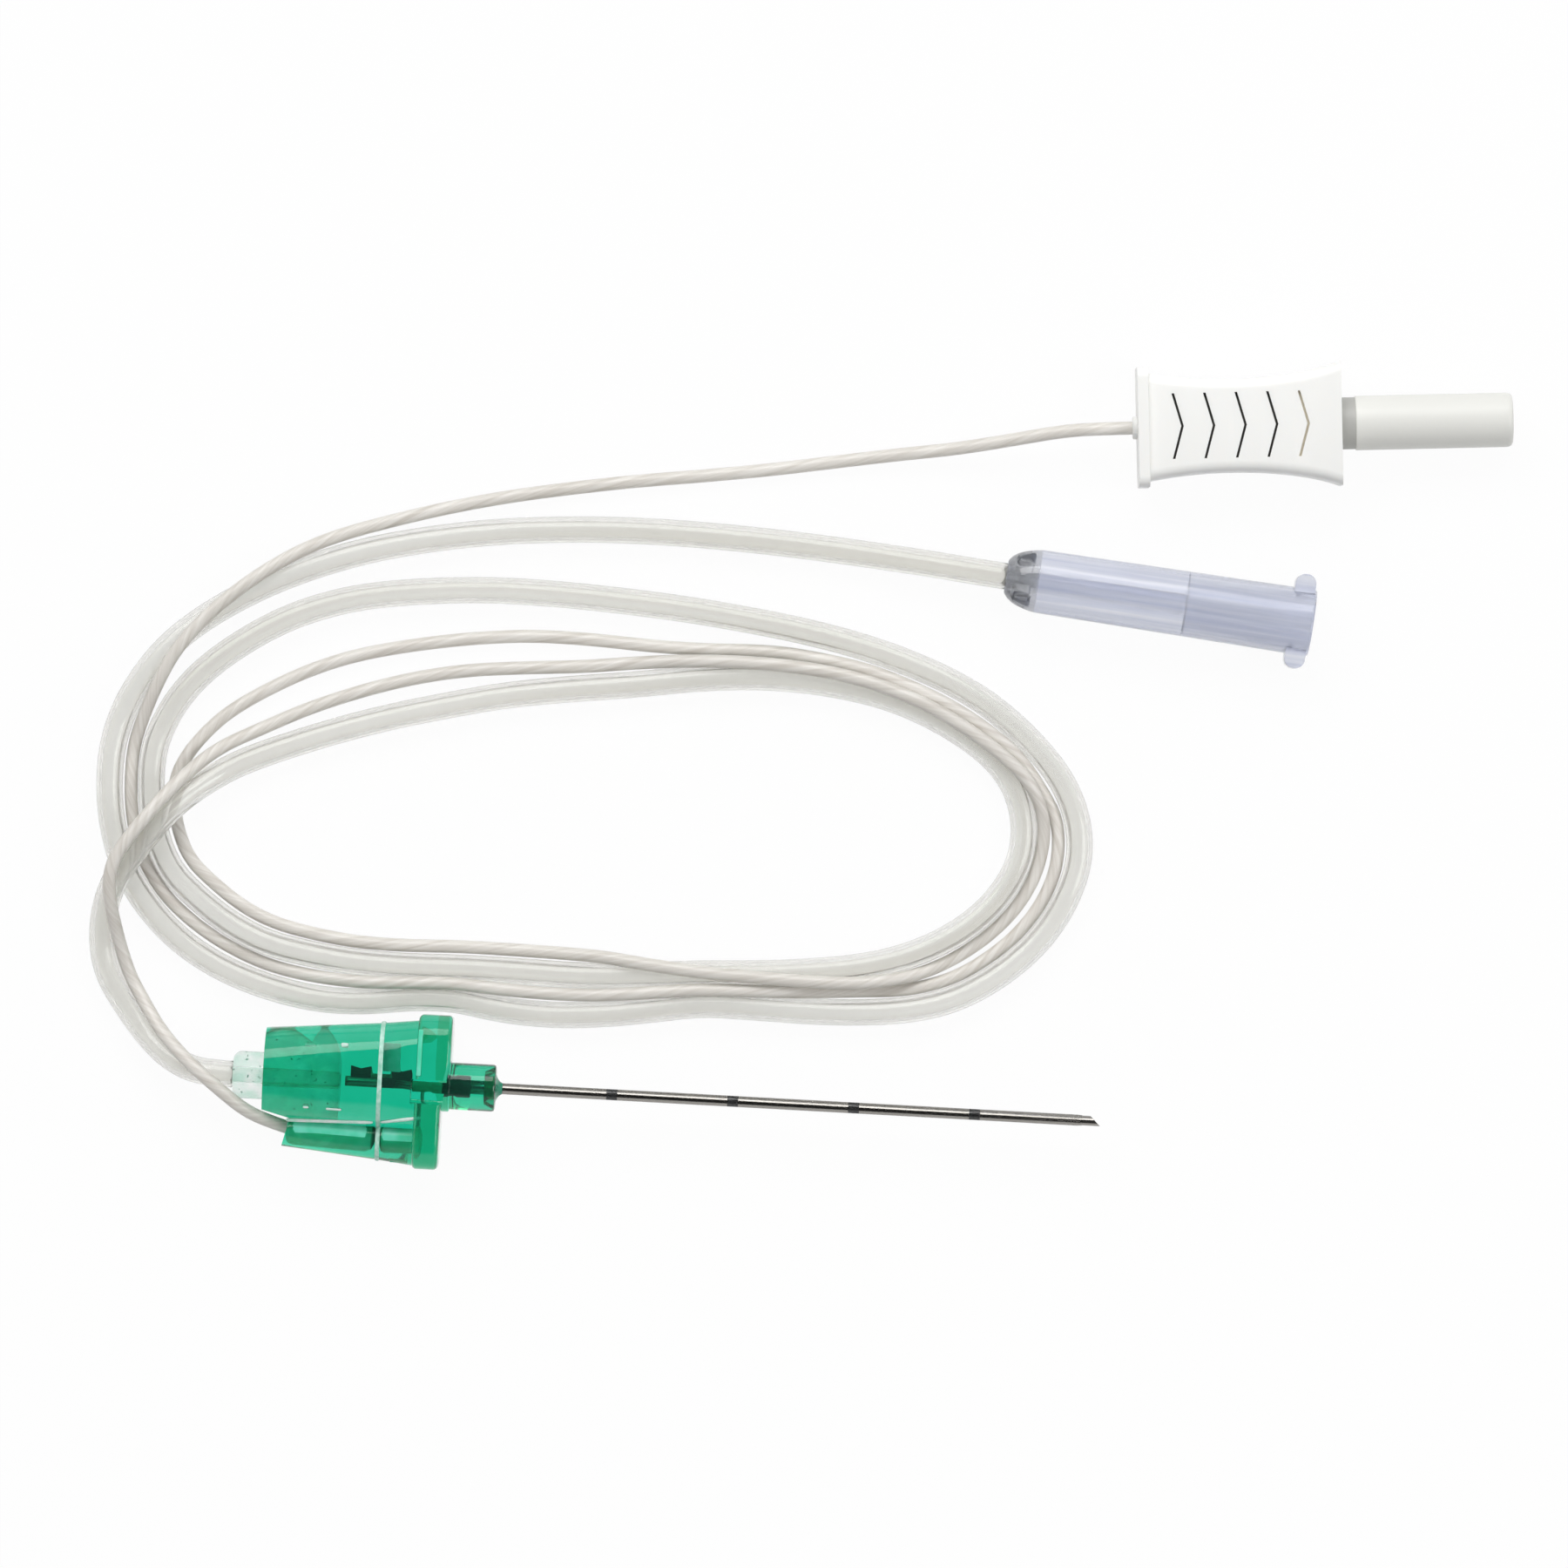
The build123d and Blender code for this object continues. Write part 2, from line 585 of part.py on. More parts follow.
def plug_grip():
    start = nub_length
    end = nub_length + grip_length
    waist_start = start + rear_flange_length / 2
    waist_end = end - front_flange_length / 2
    middle = (waist_start + waist_end) / 2
    corners = [
        (waist_start, grip_rear_half), (middle, grip_waist_half), (waist_end, grip_front_half)
    ]
    mirrored = [(x, -y) for x, y in corners]
    plan = make_face([
        ThreePointArc(*corners),
        Line(corners[2], mirrored[2]),
        ThreePointArc(*reversed(mirrored)),
        Line(mirrored[0], corners[0]),
    ])
    waist = extrude(plan, grip_thickness / 2, both=True)
    long_edges = waist.edges().filter_by(GeomType.CIRCLE)
    grip = fillet(long_edges, grip_edge_round)
    for at, length, half in (
        (start, rear_flange_length, rear_flange_half),
        (end - front_flange_length, front_flange_length, front_flange_half),
    ):
        flange = Box(length, 2 * half, flange_thickness, align=(Align.MIN, Align.CENTER, Align.CENTER))
        flange = fillet(flange.edges().filter_by(Axis.X), grip_edge_round)
        grip += Location((at, 0, 0)) * flange
    groove_floor = grip_thickness / 2 - chevron_depth
    for line in chevrons():
        groove = extrude(line, chevron_depth * 2)
        grip -= Location((0, 0, groove_floor)) * groove
        grip -= Location((0, 0, -groove_floor - 2 * chevron_depth)) * groove
    grip = plug_place * grip + rod_along(plug_place, 0, start + rear_flange_length, nub_radius)
    tail_start = end - contact_tail_length
    grip -= rod_along(plug_place, 0, end, conductor_radius + bond_gap)
    return grip - rod_along(plug_place, tail_start, contact_tail_length, contact_tail_radius + bond_gap)


def plug_sleeve():
    start = nub_length + grip_length
    end = start + sleeve_length
    lip_start = end - contact_recess
    inner = contact_radius + bond_gap
    sleeve = turned([
        (start, inner),
        (start, sleeve_neck_radius),
        (start + sleeve_neck_length, sleeve_neck_radius),
        (start + sleeve_neck_length, sleeve_radius),
        (end - sleeve_end_round, sleeve_radius),
        (end, sleeve_radius - sleeve_end_round),
        (end, recess_radius),
        (lip_start, recess_radius),
        (lip_start, inner),
    ], plug_place)
    return sleeve


def plug_contact():
    grip_end = nub_length + grip_length
    end = grip_end + sleeve_length - contact_recess
    tail_start = grip_end - contact_tail_length
    crimp = conductor_radius
    return turned([
        (tail_start, crimp),
        (tail_start, contact_tail_radius),
        (grip_end, contact_tail_radius),
        (grip_end, contact_radius),
        (end, contact_radius),
        (end, socket_bore_radius),
        (end - socket_bore_depth, socket_bore_radius),
        (end - socket_bore_depth, 0),
        (tail_start + crimp_depth, 0),
        (tail_start + crimp_depth, crimp),
    ], plug_place)


def plug_conductor():
    end = nub_length + grip_length - contact_tail_length + crimp_depth
    return rod_along(plug_place, 0, end, conductor_radius)


pieces = {
    "cannula": cannula(),
    "insulation_coating": insulation_coating(),
    "depth_marks": depth_marks(),
    "hub_rear": hub_rear(),
    "hub_front": hub_front(),
    "tube_socket": tube_socket(),
    "contact_sleeve": contact_sleeve(),
    "contact_strip": contact_strip(),
    "lead_conductor": lead_conductor(),
    "nose_adhesive": nose_adhesive(),
    "infusion_tube": cord("infusion tube", tube_route, tube_radius),
    "stimulation_lead": cord("stimulation lead", lead_route, lead_radius),
    "luer_connector": luer_connector(),
    "plug_grip": plug_grip(),
    "plug_sleeve": plug_sleeve(),
    "plug_contact": plug_contact(),
    "plug_conductor": plug_conductor(),
}

os.makedirs("parts", exist_ok=True)
for name, piece in pieces.items():
    export_step(piece, f"parts/{name}.step")
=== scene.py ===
import math

import bmesh
import bpy
from mathutils import Matrix, Vector


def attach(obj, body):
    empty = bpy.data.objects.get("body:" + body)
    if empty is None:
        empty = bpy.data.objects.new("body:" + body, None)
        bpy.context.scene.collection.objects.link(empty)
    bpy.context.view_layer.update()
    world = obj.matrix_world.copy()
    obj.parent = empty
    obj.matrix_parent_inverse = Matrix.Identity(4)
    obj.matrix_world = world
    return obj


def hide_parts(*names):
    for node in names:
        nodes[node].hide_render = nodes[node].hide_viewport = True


# A nerve block needle on a white table: a green hub, an infusion tube and a stimulation lead.
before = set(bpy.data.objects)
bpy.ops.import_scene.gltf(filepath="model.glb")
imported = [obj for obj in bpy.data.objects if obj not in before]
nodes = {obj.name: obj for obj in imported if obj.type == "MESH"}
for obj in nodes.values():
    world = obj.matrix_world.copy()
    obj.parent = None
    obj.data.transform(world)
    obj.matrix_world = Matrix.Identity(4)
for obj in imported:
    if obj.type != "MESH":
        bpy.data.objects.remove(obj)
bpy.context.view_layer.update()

# The view looks straight down through a long lens, turned a little about the vertical, as the
# needle lies in the photograph. The frame is 129.5 mm wide at the height of the cannula.
FRAME_WIDTH = 0.1295
FRAME_CENTRE = (0.0341, 0.0264)
FRAME_TURN = math.radians(3.13)
AXIS_HEIGHT = 0.0038
LENS_DISTANCE = 0.9
SENSOR_WIDTH = 36.0

bpy.ops.object.camera_add(
    location=(*FRAME_CENTRE, AXIS_HEIGHT + LENS_DISTANCE), rotation=(0, 0, FRAME_TURN)
)
camera = bpy.context.object
camera.name = "overhead_camera"
camera.data.sensor_width = SENSOR_WIDTH
camera.data.lens = SENSOR_WIDTH * LENS_DISTANCE / FRAME_WIDTH
camera.data.clip_start = 0.01
bpy.context.scene.camera = camera


def linear(code):
    """An sRGB hex colour as the linear colour that a shader takes."""
    channels = [int(code[at:at + 2], 16) / 255 for at in (0, 2, 4)]
    return (*[c / 12.92 if c <= 0.04045 else ((c + 0.055) / 1.055) ** 2.4 for c in channels], 1)


def add_node(material, kind, values=None, links=None, into=None, output=0, **settings):
    """Adds a shader node with its settings, input values and links.

    A link comes from a socket, from a node's first output, or from a texture coordinate by its
    name. An output of the new node can go straight into a socket of the Principled shader.
    """
    tree = material.node_tree
    made = tree.nodes.new(kind)
    for name, value in settings.items():
        setattr(made, name, value)
    for socket, value in (values or {}).items():
        made.inputs[socket].default_value = value
    for socket, source in (links or {}).items():
        if isinstance(source, str):
            places = tree.nodes.get("Texture Coordinate") or tree.nodes.new("ShaderNodeTexCoord")
            source = places.outputs[source]
        tree.links.new(getattr(source, "outputs", [source])[0], made.inputs[socket])
    if into:
        tree.links.new(made.outputs[output], tree.nodes["Principled BSDF"].inputs[into])
    return made


# The table: a smooth white sheet. The camera, and what gloss and clear plastic show, sees it
# nearly white, and it still takes the soft shadows of what lies on it. It lies a hair lower
# than the object, so that clear plastic has its own lower face.
TABLE_SIZE = 3.0
TABLE_TOP = -0.00003
TABLE_OWN_LIGHT = 0.95

bpy.ops.mesh.primitive_plane_add(size=TABLE_SIZE, location=(*FRAME_CENTRE, TABLE_TOP))
table = bpy.context.object
table.name = "table"
bpy.ops.object.transform_apply()
matt_card = bpy.data.materials.new("matt_white_card")
matt_card.use_nodes = True
matt_card.node_tree.nodes.clear()
rays = add_node(matt_card, "ShaderNodeLightPath")
seen = add_node(
    matt_card, "ShaderNodeMath", operation="MAXIMUM",
    links={0: rays.outputs["Is Camera Ray"], 1: rays.outputs["Is Glossy Ray"]}
)
dimmed = add_node(
    matt_card, "ShaderNodeMath", operation="MULTIPLY", values={1: TABLE_OWN_LIGHT}, links={0: seen}
)
share = add_node(
    matt_card, "ShaderNodeMath", operation="MAXIMUM",
    links={0: dimmed, 1: rays.outputs["Is Transmission Ray"]}
)
card = add_node(matt_card, "ShaderNodeBsdfDiffuse", values={"Color": linear("f4f4f4")})
glow = add_node(matt_card, "ShaderNodeEmission", values={"Color": (1, 1, 1, 1)})
mixed = add_node(matt_card, "ShaderNodeMixShader", links={0: share, 1: card, 2: glow})
add_node(matt_card, "ShaderNodeOutputMaterial", links={"Surface": mixed})
table.data.materials.append(matt_card)

# The light: a wide softbox on the far side, which draws a band along every round piece, a weak
# lamp on the right, and a pale room that lights more from above than from the sides. Gloss
# sees the room darken straight overhead, where the camera hangs, and white walls lower down.
ROOM_TOP_STRENGTH = 0.5
ROOM_TOP_HEIGHT = 0.85
ROOM_SIDE_STRENGTH = 0.1
WALL_STRENGTH = 1.0
CEILING_STRENGTH = 0.04
CEILING_EDGE = (0.55, 0.8)
LAMPS = (
    ("softbox", (-0.12, 0.72, 0.72), 1.2, 0.5, 7.0),
    ("side_lamp", (0.55, 0.0, 0.6), 0.3, 0.3, 1.2),
)
for lamp_name, lamp_place, lamp_width, lamp_height, lamp_power in LAMPS:
    bpy.ops.object.light_add(type="AREA", location=lamp_place)
    lamp = bpy.context.object
    lamp.name = lamp_name
    lamp.data.shape = "RECTANGLE"
    lamp.data.size = lamp_width
    lamp.data.size_y = lamp_height
    lamp.data.energy = lamp_power
    aim = Vector((*FRAME_CENTRE, 0)) - Vector(lamp_place)
    lamp.rotation_euler = aim.to_track_quat("-Z", "Y").to_euler()

room = bpy.data.worlds.new("pale_room")
bpy.context.scene.world = room
room.use_nodes = True
room.node_tree.nodes.clear()
height = add_node(room, "ShaderNodeSeparateXYZ", links={0: "Generated"})
overhead = add_node(
    room, "ShaderNodeMapRange", interpolation_type="SMOOTHSTEP",
    values={"From Min": CEILING_EDGE[0], "From Max": CEILING_EDGE[1],
            "To Min": WALL_STRENGTH, "To Max": CEILING_STRENGTH},
    links={"Value": height.outputs["Z"]}
)
rays = add_node(room, "ShaderNodeLightPath")
seen = add_node(
    room, "ShaderNodeMath", operation="MAXIMUM",
    links={0: rays.outputs["Is Camera Ray"], 1: rays.outputs["Is Transmission Ray"]}
)
from_above = add_node(
    room, "ShaderNodeMapRange", links={"Value": height.outputs["Z"]},
    values={"From Max": ROOM_TOP_HEIGHT, "To Min": ROOM_SIDE_STRENGTH, "To Max": ROOM_TOP_STRENGTH}
)
plain = add_node(
    room, "ShaderNodeMapRange", values={"To Max": 1.0}, links={"Value": seen, "To Min": from_above}
)
strength = add_node(
    room, "ShaderNodeMix", data_type="FLOAT",
    links={"Factor": rays.outputs["Is Glossy Ray"], "A": plain, "B": overhead}
)
sky = add_node(
    room, "ShaderNodeBackground", values={"Color": (1, 1, 1, 1)}, links={"Strength": strength}
)
add_node(room, "ShaderNodeOutputWorld", links={"Surface": sky})
bpy.context.scene.view_settings.view_transform = "Standard"


# Cannula: a stainless steel tube, 0.82 mm across, drawn, polished and ground to a short point.
# Its rear end is glued into the hub and its front end reaches 50 mm out of the nose.
MM = 0.001
AXIS_Z = 3.8
CANNULA_RADIUS = 0.41
CANNULA_BORE_RADIUS = 0.255
CANNULA_REAR_X = -0.8
TIP_X = 61.7
POINT_ANGLE = math.radians(45)


def open_mesh():
    """Enters edit mode on the active piece, with all of it selected."""
    bpy.ops.object.mode_set(mode="EDIT")
    bpy.ops.mesh.select_all(action="SELECT")


def turned_piece(name, profile, steps):
    """A profile of (length, radius) pairs in mm, drawn point by point and spun about x.

    A solid piece starts and ends on the axis, and a hollow one closes its own profile.
    """
    bpy.ops.mesh.primitive_plane_add(size=MM)
    piece = bpy.context.object
    piece.name = piece.data.name = name
    open_mesh()
    bpy.ops.mesh.select_mode(type="VERT")
    bpy.ops.mesh.merge(type="CENTER")
    bpy.ops.transform.translate(value=(profile[0][0] * MM, profile[0][1] * MM, 0))
    for (x, radius), (next_x, next_radius) in zip(profile, [*profile[1:], profile[0]]):
        step = ((next_x - x) * MM, (next_radius - radius) * MM, 0)
        bpy.ops.mesh.extrude_region_move(TRANSFORM_OT_translate={"value": step})
    bpy.ops.mesh.select_all(action="SELECT")
    bpy.ops.mesh.spin(steps=steps, angle=math.tau, center=(0, 0, 0), axis=(1, 0, 0))
    bpy.ops.mesh.select_all(action="SELECT")
    bpy.ops.mesh.remove_doubles(threshold=0.001 * MM)
    bpy.ops.mesh.dissolve_degenerate(threshold=0.001 * MM)
    bpy.ops.mesh.delete_loose(use_verts=True, use_edges=True, use_faces=False)
    bpy.ops.mesh.normals_make_consistent(inside=False)
    bpy.ops.object.mode_set(mode="OBJECT")
    return piece


def take(piece):
    """Leaves edit mode, and makes a piece the only selected one and the active one."""
    bpy.ops.object.mode_set(mode="OBJECT")
    bpy.ops.object.select_all(action="DESELECT")
    piece.select_set(True)
    bpy.context.view_layer.objects.active = piece


def place_piece(piece, start, ahead=(1, 0, 0)):
    """Moves a piece from the origin to its place in mm, its x along a level direction."""
    take(piece)
    turn = Vector(ahead).to_track_quat("X", "Z").to_matrix().to_4x4()
    piece.matrix_world = Matrix.Translation(Vector(start) * MM) @ turn
    bpy.ops.object.transform_apply()


def round_edges(piece, width, turn=math.radians(30), steps=2):
    """Rounds the edges that turn by more than an angle, and smooths what turns by less."""
    take(piece)
    if width:
        rounding = piece.modifiers.new("rounded_edges", "BEVEL")
        rounding.width = width * MM
        rounding.segments = steps
        rounding.limit_method = "ANGLE"
        rounding.angle_limit = turn
        bpy.ops.object.modifier_apply(modifier=rounding.name)
    bpy.ops.object.shade_smooth_by_angle(angle=turn)


def finish_of(name, colour, roughness, transmission=0, **sockets):
    """A material of one Principled shader with its values on its own sockets."""
    made = bpy.data.materials.new(name)
    made.use_nodes = True
    sockets.update({
        "Base Color": linear(colour), "Roughness": roughness, "Transmission Weight": transmission
    })
    for socket, value in sockets.items():
        made.node_tree.nodes["Principled BSDF"].inputs[socket].default_value = value
    return made


def lines_along(material, place, length, width, **look):
    """A pattern of fine lines along x, of a length and a width in mm."""
    stretch = add_node(
        material, "ShaderNodeMapping",
        values={"Scale": Vector((1 / length, 1 / width, 1 / width)) / MM}, links={"Vector": place}
    )
    return add_node(
        material, "ShaderNodeTexNoise", values={"Scale": 1.0, **look}, links={"Vector": stretch}
    )


def wear(piece, material):
    """Gives a piece, or a node of the frame, one material."""
    piece.data.materials.clear()
    piece.data.materials.append(material)


def stands_for(piece, node):
    """Lets a piece ride on the body and take the place of a node, which it hides."""
    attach(piece, "root")
    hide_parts(node)


cannula = turned_piece("cannula_tube", [
    (CANNULA_REAR_X, CANNULA_BORE_RADIUS), (CANNULA_REAR_X, CANNULA_RADIUS),
    (TIP_X + 0.2, CANNULA_RADIUS), (TIP_X + 0.2, CANNULA_BORE_RADIUS),
], 48)
open_mesh()
bpy.ops.mesh.bisect(
    plane_co=(TIP_X * MM, -CANNULA_RADIUS * MM, 0),
    plane_no=(math.sin(POINT_ANGLE), math.cos(POINT_ANGLE), 0), clear_outer=True
)
bpy.ops.mesh.bridge_edge_loops()
bpy.ops.mesh.select_all(action="SELECT")
bpy.ops.mesh.normals_make_consistent(inside=False)
place_piece(cannula, (0, 0, AXIS_Z))
round_edges(cannula, 0.02)

# Drawn stainless steel: grey and bright, with fine lines along the tube that spread its
# reflections. The lines of the real tube are finer than the picture shows.
DRAW_LINE_WIDTH = 0.06
DRAW_LINE_LENGTH = 6.0

steel = finish_of("drawn_stainless_steel", "94918d", 0.14, Metallic=1.0)
lines = lines_along(
    steel, "Object", DRAW_LINE_LENGTH, DRAW_LINE_WIDTH, Detail=3.0, Roughness=0.6
)
add_node(
    steel, "ShaderNodeMapRange", values={"To Min": 0.08, "To Max": 0.24}, links={"Value": lines},
    into="Roughness"
)
add_node(
    steel, "ShaderNodeBump", values={"Strength": 0.25, "Distance": 0.004 * MM},
    links={"Height": lines}, into="Normal"
)
wear(cannula, steel)
stands_for(cannula, "cannula")


# Depth marks: four rings of dark ink, printed on the steel every 10 mm from the point before
# the tube is coated. The ink is thin and a little uneven at its edges.
MARK_COUNT = 4
MARK_LENGTH = 0.9
MARK_SPACING = 10.0
FIRST_MARK_FROM_TIP = 10.4
INK_RADIUS = 0.432
INK_EDGE = 0.06


def joined(parts, name):
    """Several pieces as one piece."""
    take(parts[0])
    for part in parts:
        part.select_set(True)
    bpy.ops.object.join()
    parts[0].name = name
    return parts[0]


def two_shades(material, pattern, dark, light, ends=(0.3, 0.7)):
    """Varies a material's colour between two shades by a pattern."""
    shades = add_node(
        material, "ShaderNodeValToRGB", links={"Fac": pattern}, into="Base Color"
    )
    for element, end, shade in zip(shades.color_ramp.elements, ends, (dark, light)):
        element.position = end
        element.color = linear(shade)
    return shades


rings = []
for number in range(MARK_COUNT):
    ring = turned_piece("depth_mark", [
        (0, CANNULA_RADIUS - 0.01), (0, CANNULA_RADIUS), (INK_EDGE, INK_RADIUS),
        (MARK_LENGTH - INK_EDGE, INK_RADIUS), (MARK_LENGTH, CANNULA_RADIUS),
        (MARK_LENGTH, CANNULA_RADIUS - 0.01),
    ], 48)
    from_tip = FIRST_MARK_FROM_TIP + MARK_SPACING * number
    place_piece(ring, (TIP_X - from_tip - MARK_LENGTH / 2, 0, AXIS_Z))
    rings.append(ring)
marks = joined(rings, "depth_mark_rings")
round_edges(marks, 0)

# Printed ink: near black, half matt, with small thin spots where the steel nearly shows.
INK_SPOT = 0.12

ink = finish_of("printed_dark_ink", "17181a", 0.38)
spots = add_node(
    ink, "ShaderNodeTexNoise", values={"Scale": 1 / (INK_SPOT * MM), "Detail": 2.0},
    links={"Vector": "Object"}
)
two_shades(ink, spots, "101113", "3a3b3d", ends=(0.3, 0.75))
wear(marks, ink)
stands_for(marks, "depth_marks")


# Insulating coating: a clear skin, 0.05 mm thick, dipped over the steel and its marks. It runs
# from the adhesive in the nose to just short of the point and thins out at both ends.
COATING_RADIUS = 0.46
COATING_START_X = 12.2
COATING_END_X = 60.2


def faint_ripple(material, spacing, depth, strength=0.5, detail=2.0):
    """The slow waves of a moulded or cured skin, at a spacing and a depth in mm."""
    waves = add_node(
        material, "ShaderNodeTexNoise", values={"Scale": 1 / (spacing * MM), "Detail": detail},
        links={"Vector": "Object"}
    )
    add_node(
        material, "ShaderNodeBump", values={"Strength": strength, "Distance": depth * MM},
        links={"Height": waves}, into="Normal"
    )
    return waves


coating = turned_piece("insulating_skin", [
    (COATING_START_X, CANNULA_RADIUS - 0.005), (COATING_START_X, COATING_RADIUS),
    (COATING_END_X - 0.5, COATING_RADIUS), (COATING_END_X - 0.2, COATING_RADIUS - 0.01),
    (COATING_END_X, COATING_RADIUS - 0.035), (COATING_END_X, CANNULA_RADIUS - 0.005),
], 48)
place_piece(coating, (0, 0, AXIS_Z))
round_edges(coating, 0)

# Clear fluoropolymer, dipped and cured: a glossy film that hardly tints the steel, with slow
# waves in its thickness.
FILM_WAVE = 1.6

film = finish_of("clear_insulating_film", "f6f6f4", 0.06, transmission=1.0, IOR=1.38)
faint_ripple(film, FILM_WAVE, 0.02, strength=0.3, detail=1.0)
wear(coating, film)
stands_for(coating, "insulation_coating")


# Contact sleeve: a short metal sleeve, pushed over the cannula inside the hub and pinched on in
# two places. It carries the current from the strip to the cannula.
SLEEVE_START_X = 4.7
SLEEVE_RADIUS = 0.63
PINCHED_RADIUS = 0.57

contact_sleeve = turned_piece("contact_sleeve_crimped", [
    (0, CANNULA_RADIUS - 0.01), (0, 0.58), (0.08, SLEEVE_RADIUS), (1.1, SLEEVE_RADIUS),
    (1.3, PINCHED_RADIUS), (1.6, PINCHED_RADIUS), (1.8, SLEEVE_RADIUS), (3.0, SLEEVE_RADIUS),
    (3.2, PINCHED_RADIUS), (3.5, PINCHED_RADIUS), (3.7, SLEEVE_RADIUS), (4.72, SLEEVE_RADIUS),
    (4.8, 0.58), (4.8, CANNULA_RADIUS - 0.01),
], 40)
place_piece(contact_sleeve, (SLEEVE_START_X, 0, AXIS_Z))
round_edges(contact_sleeve, 0)

# Blackened brass: a dull dark skin, so that the metal reads nearly black through the shell.
# Between the strip and the wings, and on the strip's neck, it is coated with pale glue, and
# hardly shows.
BARE_START_X = 7.2
NECK_MIDDLE_X = 2.15
NECK_HALF_LENGTH = 0.95
TARNISH_SPOT = 0.5

blackened = finish_of("blackened_brass", "17130e", 0.5, Metallic=0.3)
spots = add_node(
    blackened, "ShaderNodeTexNoise", values={"Scale": 1 / (TARNISH_SPOT * MM), "Detail": 4.0},
    links={"Vector": "Object"}
)
shades = two_shades(blackened, spots, "0d0a07", "2a2218", ends=(0.35, 0.7))
distance = add_node(blackened, "ShaderNodeSeparateXYZ", links={0: "Object"})
past_wing = add_node(
    blackened, "ShaderNodeMapRange", links={"Value": distance.outputs["X"]},
    values={"From Min": BARE_START_X * MM, "From Max": (BARE_START_X + 0.1) * MM}
)
behind_sleeve = add_node(
    blackened, "ShaderNodeMath", operation="LESS_THAN", values={1: SLEEVE_START_X * MM},
    links={0: distance.outputs["X"]}
)
bare = add_node(
    blackened, "ShaderNodeMath", operation="MAXIMUM", links={0: past_wing, 1: behind_sleeve}
)
on_neck = add_node(
    blackened, "ShaderNodeMath", operation="COMPARE",
    values={1: NECK_MIDDLE_X * MM, 2: NECK_HALF_LENGTH * MM}, links={0: distance.outputs["X"]}
)
dark = add_node(
    blackened, "ShaderNodeMath", operation="SUBTRACT", links={0: bare, 1: on_neck}
)
add_node(
    blackened, "ShaderNodeMix", data_type="RGBA", values={6: linear("86c4ac")},
    links={0: dark, 7: shades}, into="Base Color", output=2
)
wear(contact_sleeve, blackened)
stands_for(contact_sleeve, "contact_sleeve")


# Contact strip: a flat strip of sheet metal beside the cannula, with two wide legs and a narrow
# neck between them. It is stamped, and laid into the shells before they are closed.
STRIP_START_X = -0.4
STRIP_LENGTH = 5.1
STRIP_WIDTH = 0.85
STRIP_NECK = 0.3
STRIP_THICKNESS = 0.4
LEG_LENGTH = 1.6
LEG_NOTCH = 0.2


def pick(piece, kind, test):
    """In edit mode, selects the vertices, edges or faces that pass a test, and no others."""
    bpy.ops.mesh.select_mode(type=kind)
    bpy.ops.mesh.select_all(action="DESELECT")
    mesh = bmesh.from_edit_mesh(piece.data)
    for part in {"VERT": mesh.verts, "EDGE": mesh.edges, "FACE": mesh.faces}[kind]:
        if test(part):
            part.select_set(True)
    mesh.select_flush_mode()
    bmesh.update_edit_mesh(piece.data)


def block(name, low, high):
    """A cube between two corners in mm, left in edit mode with all of it selected."""
    low, high = Vector(low) * MM, Vector(high) * MM
    bpy.ops.mesh.primitive_cube_add(size=1, location=(low + high) / 2, scale=high - low)
    piece = bpy.context.object
    piece.name = piece.data.name = name
    bpy.ops.object.transform_apply()
    open_mesh()
    return piece


def divide_at(lengths, across=(1, 0, 0)):
    """In edit mode, cuts the whole mesh along planes at these distances in mm."""
    for length in lengths:
        bpy.ops.mesh.select_all(action="SELECT")
        bpy.ops.mesh.bisect(plane_co=Vector(across) * length * MM, plane_no=across)


strip = block(
    "contact_strip_stamped",
    (STRIP_START_X, CANNULA_RADIUS, AXIS_Z - STRIP_THICKNESS / 2),
    (STRIP_START_X + STRIP_LENGTH, CANNULA_RADIUS + STRIP_WIDTH, AXIS_Z + STRIP_THICKNESS / 2),
)
neck_start = STRIP_START_X + LEG_LENGTH
neck_end = STRIP_START_X + STRIP_LENGTH - LEG_LENGTH
leg_middles = (STRIP_START_X + LEG_LENGTH / 2, neck_end + LEG_LENGTH / 2)
divide_at([
    leg_middles[0], neck_start, neck_start + 0.12, neck_end - 0.12, neck_end, leg_middles[1]
])
pick(strip, "VERT", lambda v: (
    neck_start + 0.06 < v.co.x / MM < neck_end - 0.06 and v.co.y / MM > 0.8
))
bpy.ops.transform.translate(value=(0, (STRIP_NECK - STRIP_WIDTH) * MM, 0))
pick(strip, "VERT", lambda v: v.co.y / MM > 1.2 and any(
    abs(v.co.x / MM - x) < 0.01 for x in leg_middles
))
bpy.ops.transform.translate(value=(0, -LEG_NOTCH * MM, 0))
round_edges(strip, 0.04)
wear(strip, blackened)
stands_for(strip, "contact_strip")


# Conductors: the bare ends of the lead's wire, one inside the hub and one inside the plug.
# Tinned copper, drawn and twisted: dull pale tin with slanting lines across it. It hardly shows
# through the green plastic.
STRAND_WIDTH = 0.25
STRAND_SLANT = math.radians(25)

tinned = finish_of("tinned_copper_wire", "d9e6dd", 0.5, Metallic=0.2)
slant = add_node(
    tinned, "ShaderNodeMapping", values={"Rotation": (0, 0, STRAND_SLANT)},
    links={"Vector": "Object"}
)
strands = add_node(
    tinned, "ShaderNodeTexWave", links={"Vector": slant},
    values={"Scale": 1 / (STRAND_WIDTH * MM * math.tau), "Distortion": 1.0}
)
add_node(
    tinned, "ShaderNodeBump", values={"Strength": 0.6, "Distance": 0.03 * MM},
    links={"Height": strands.outputs["Fac"]}, into="Normal"
)
for name in ("lead_conductor", "plug_conductor"):
    wear(nodes[name], tinned)


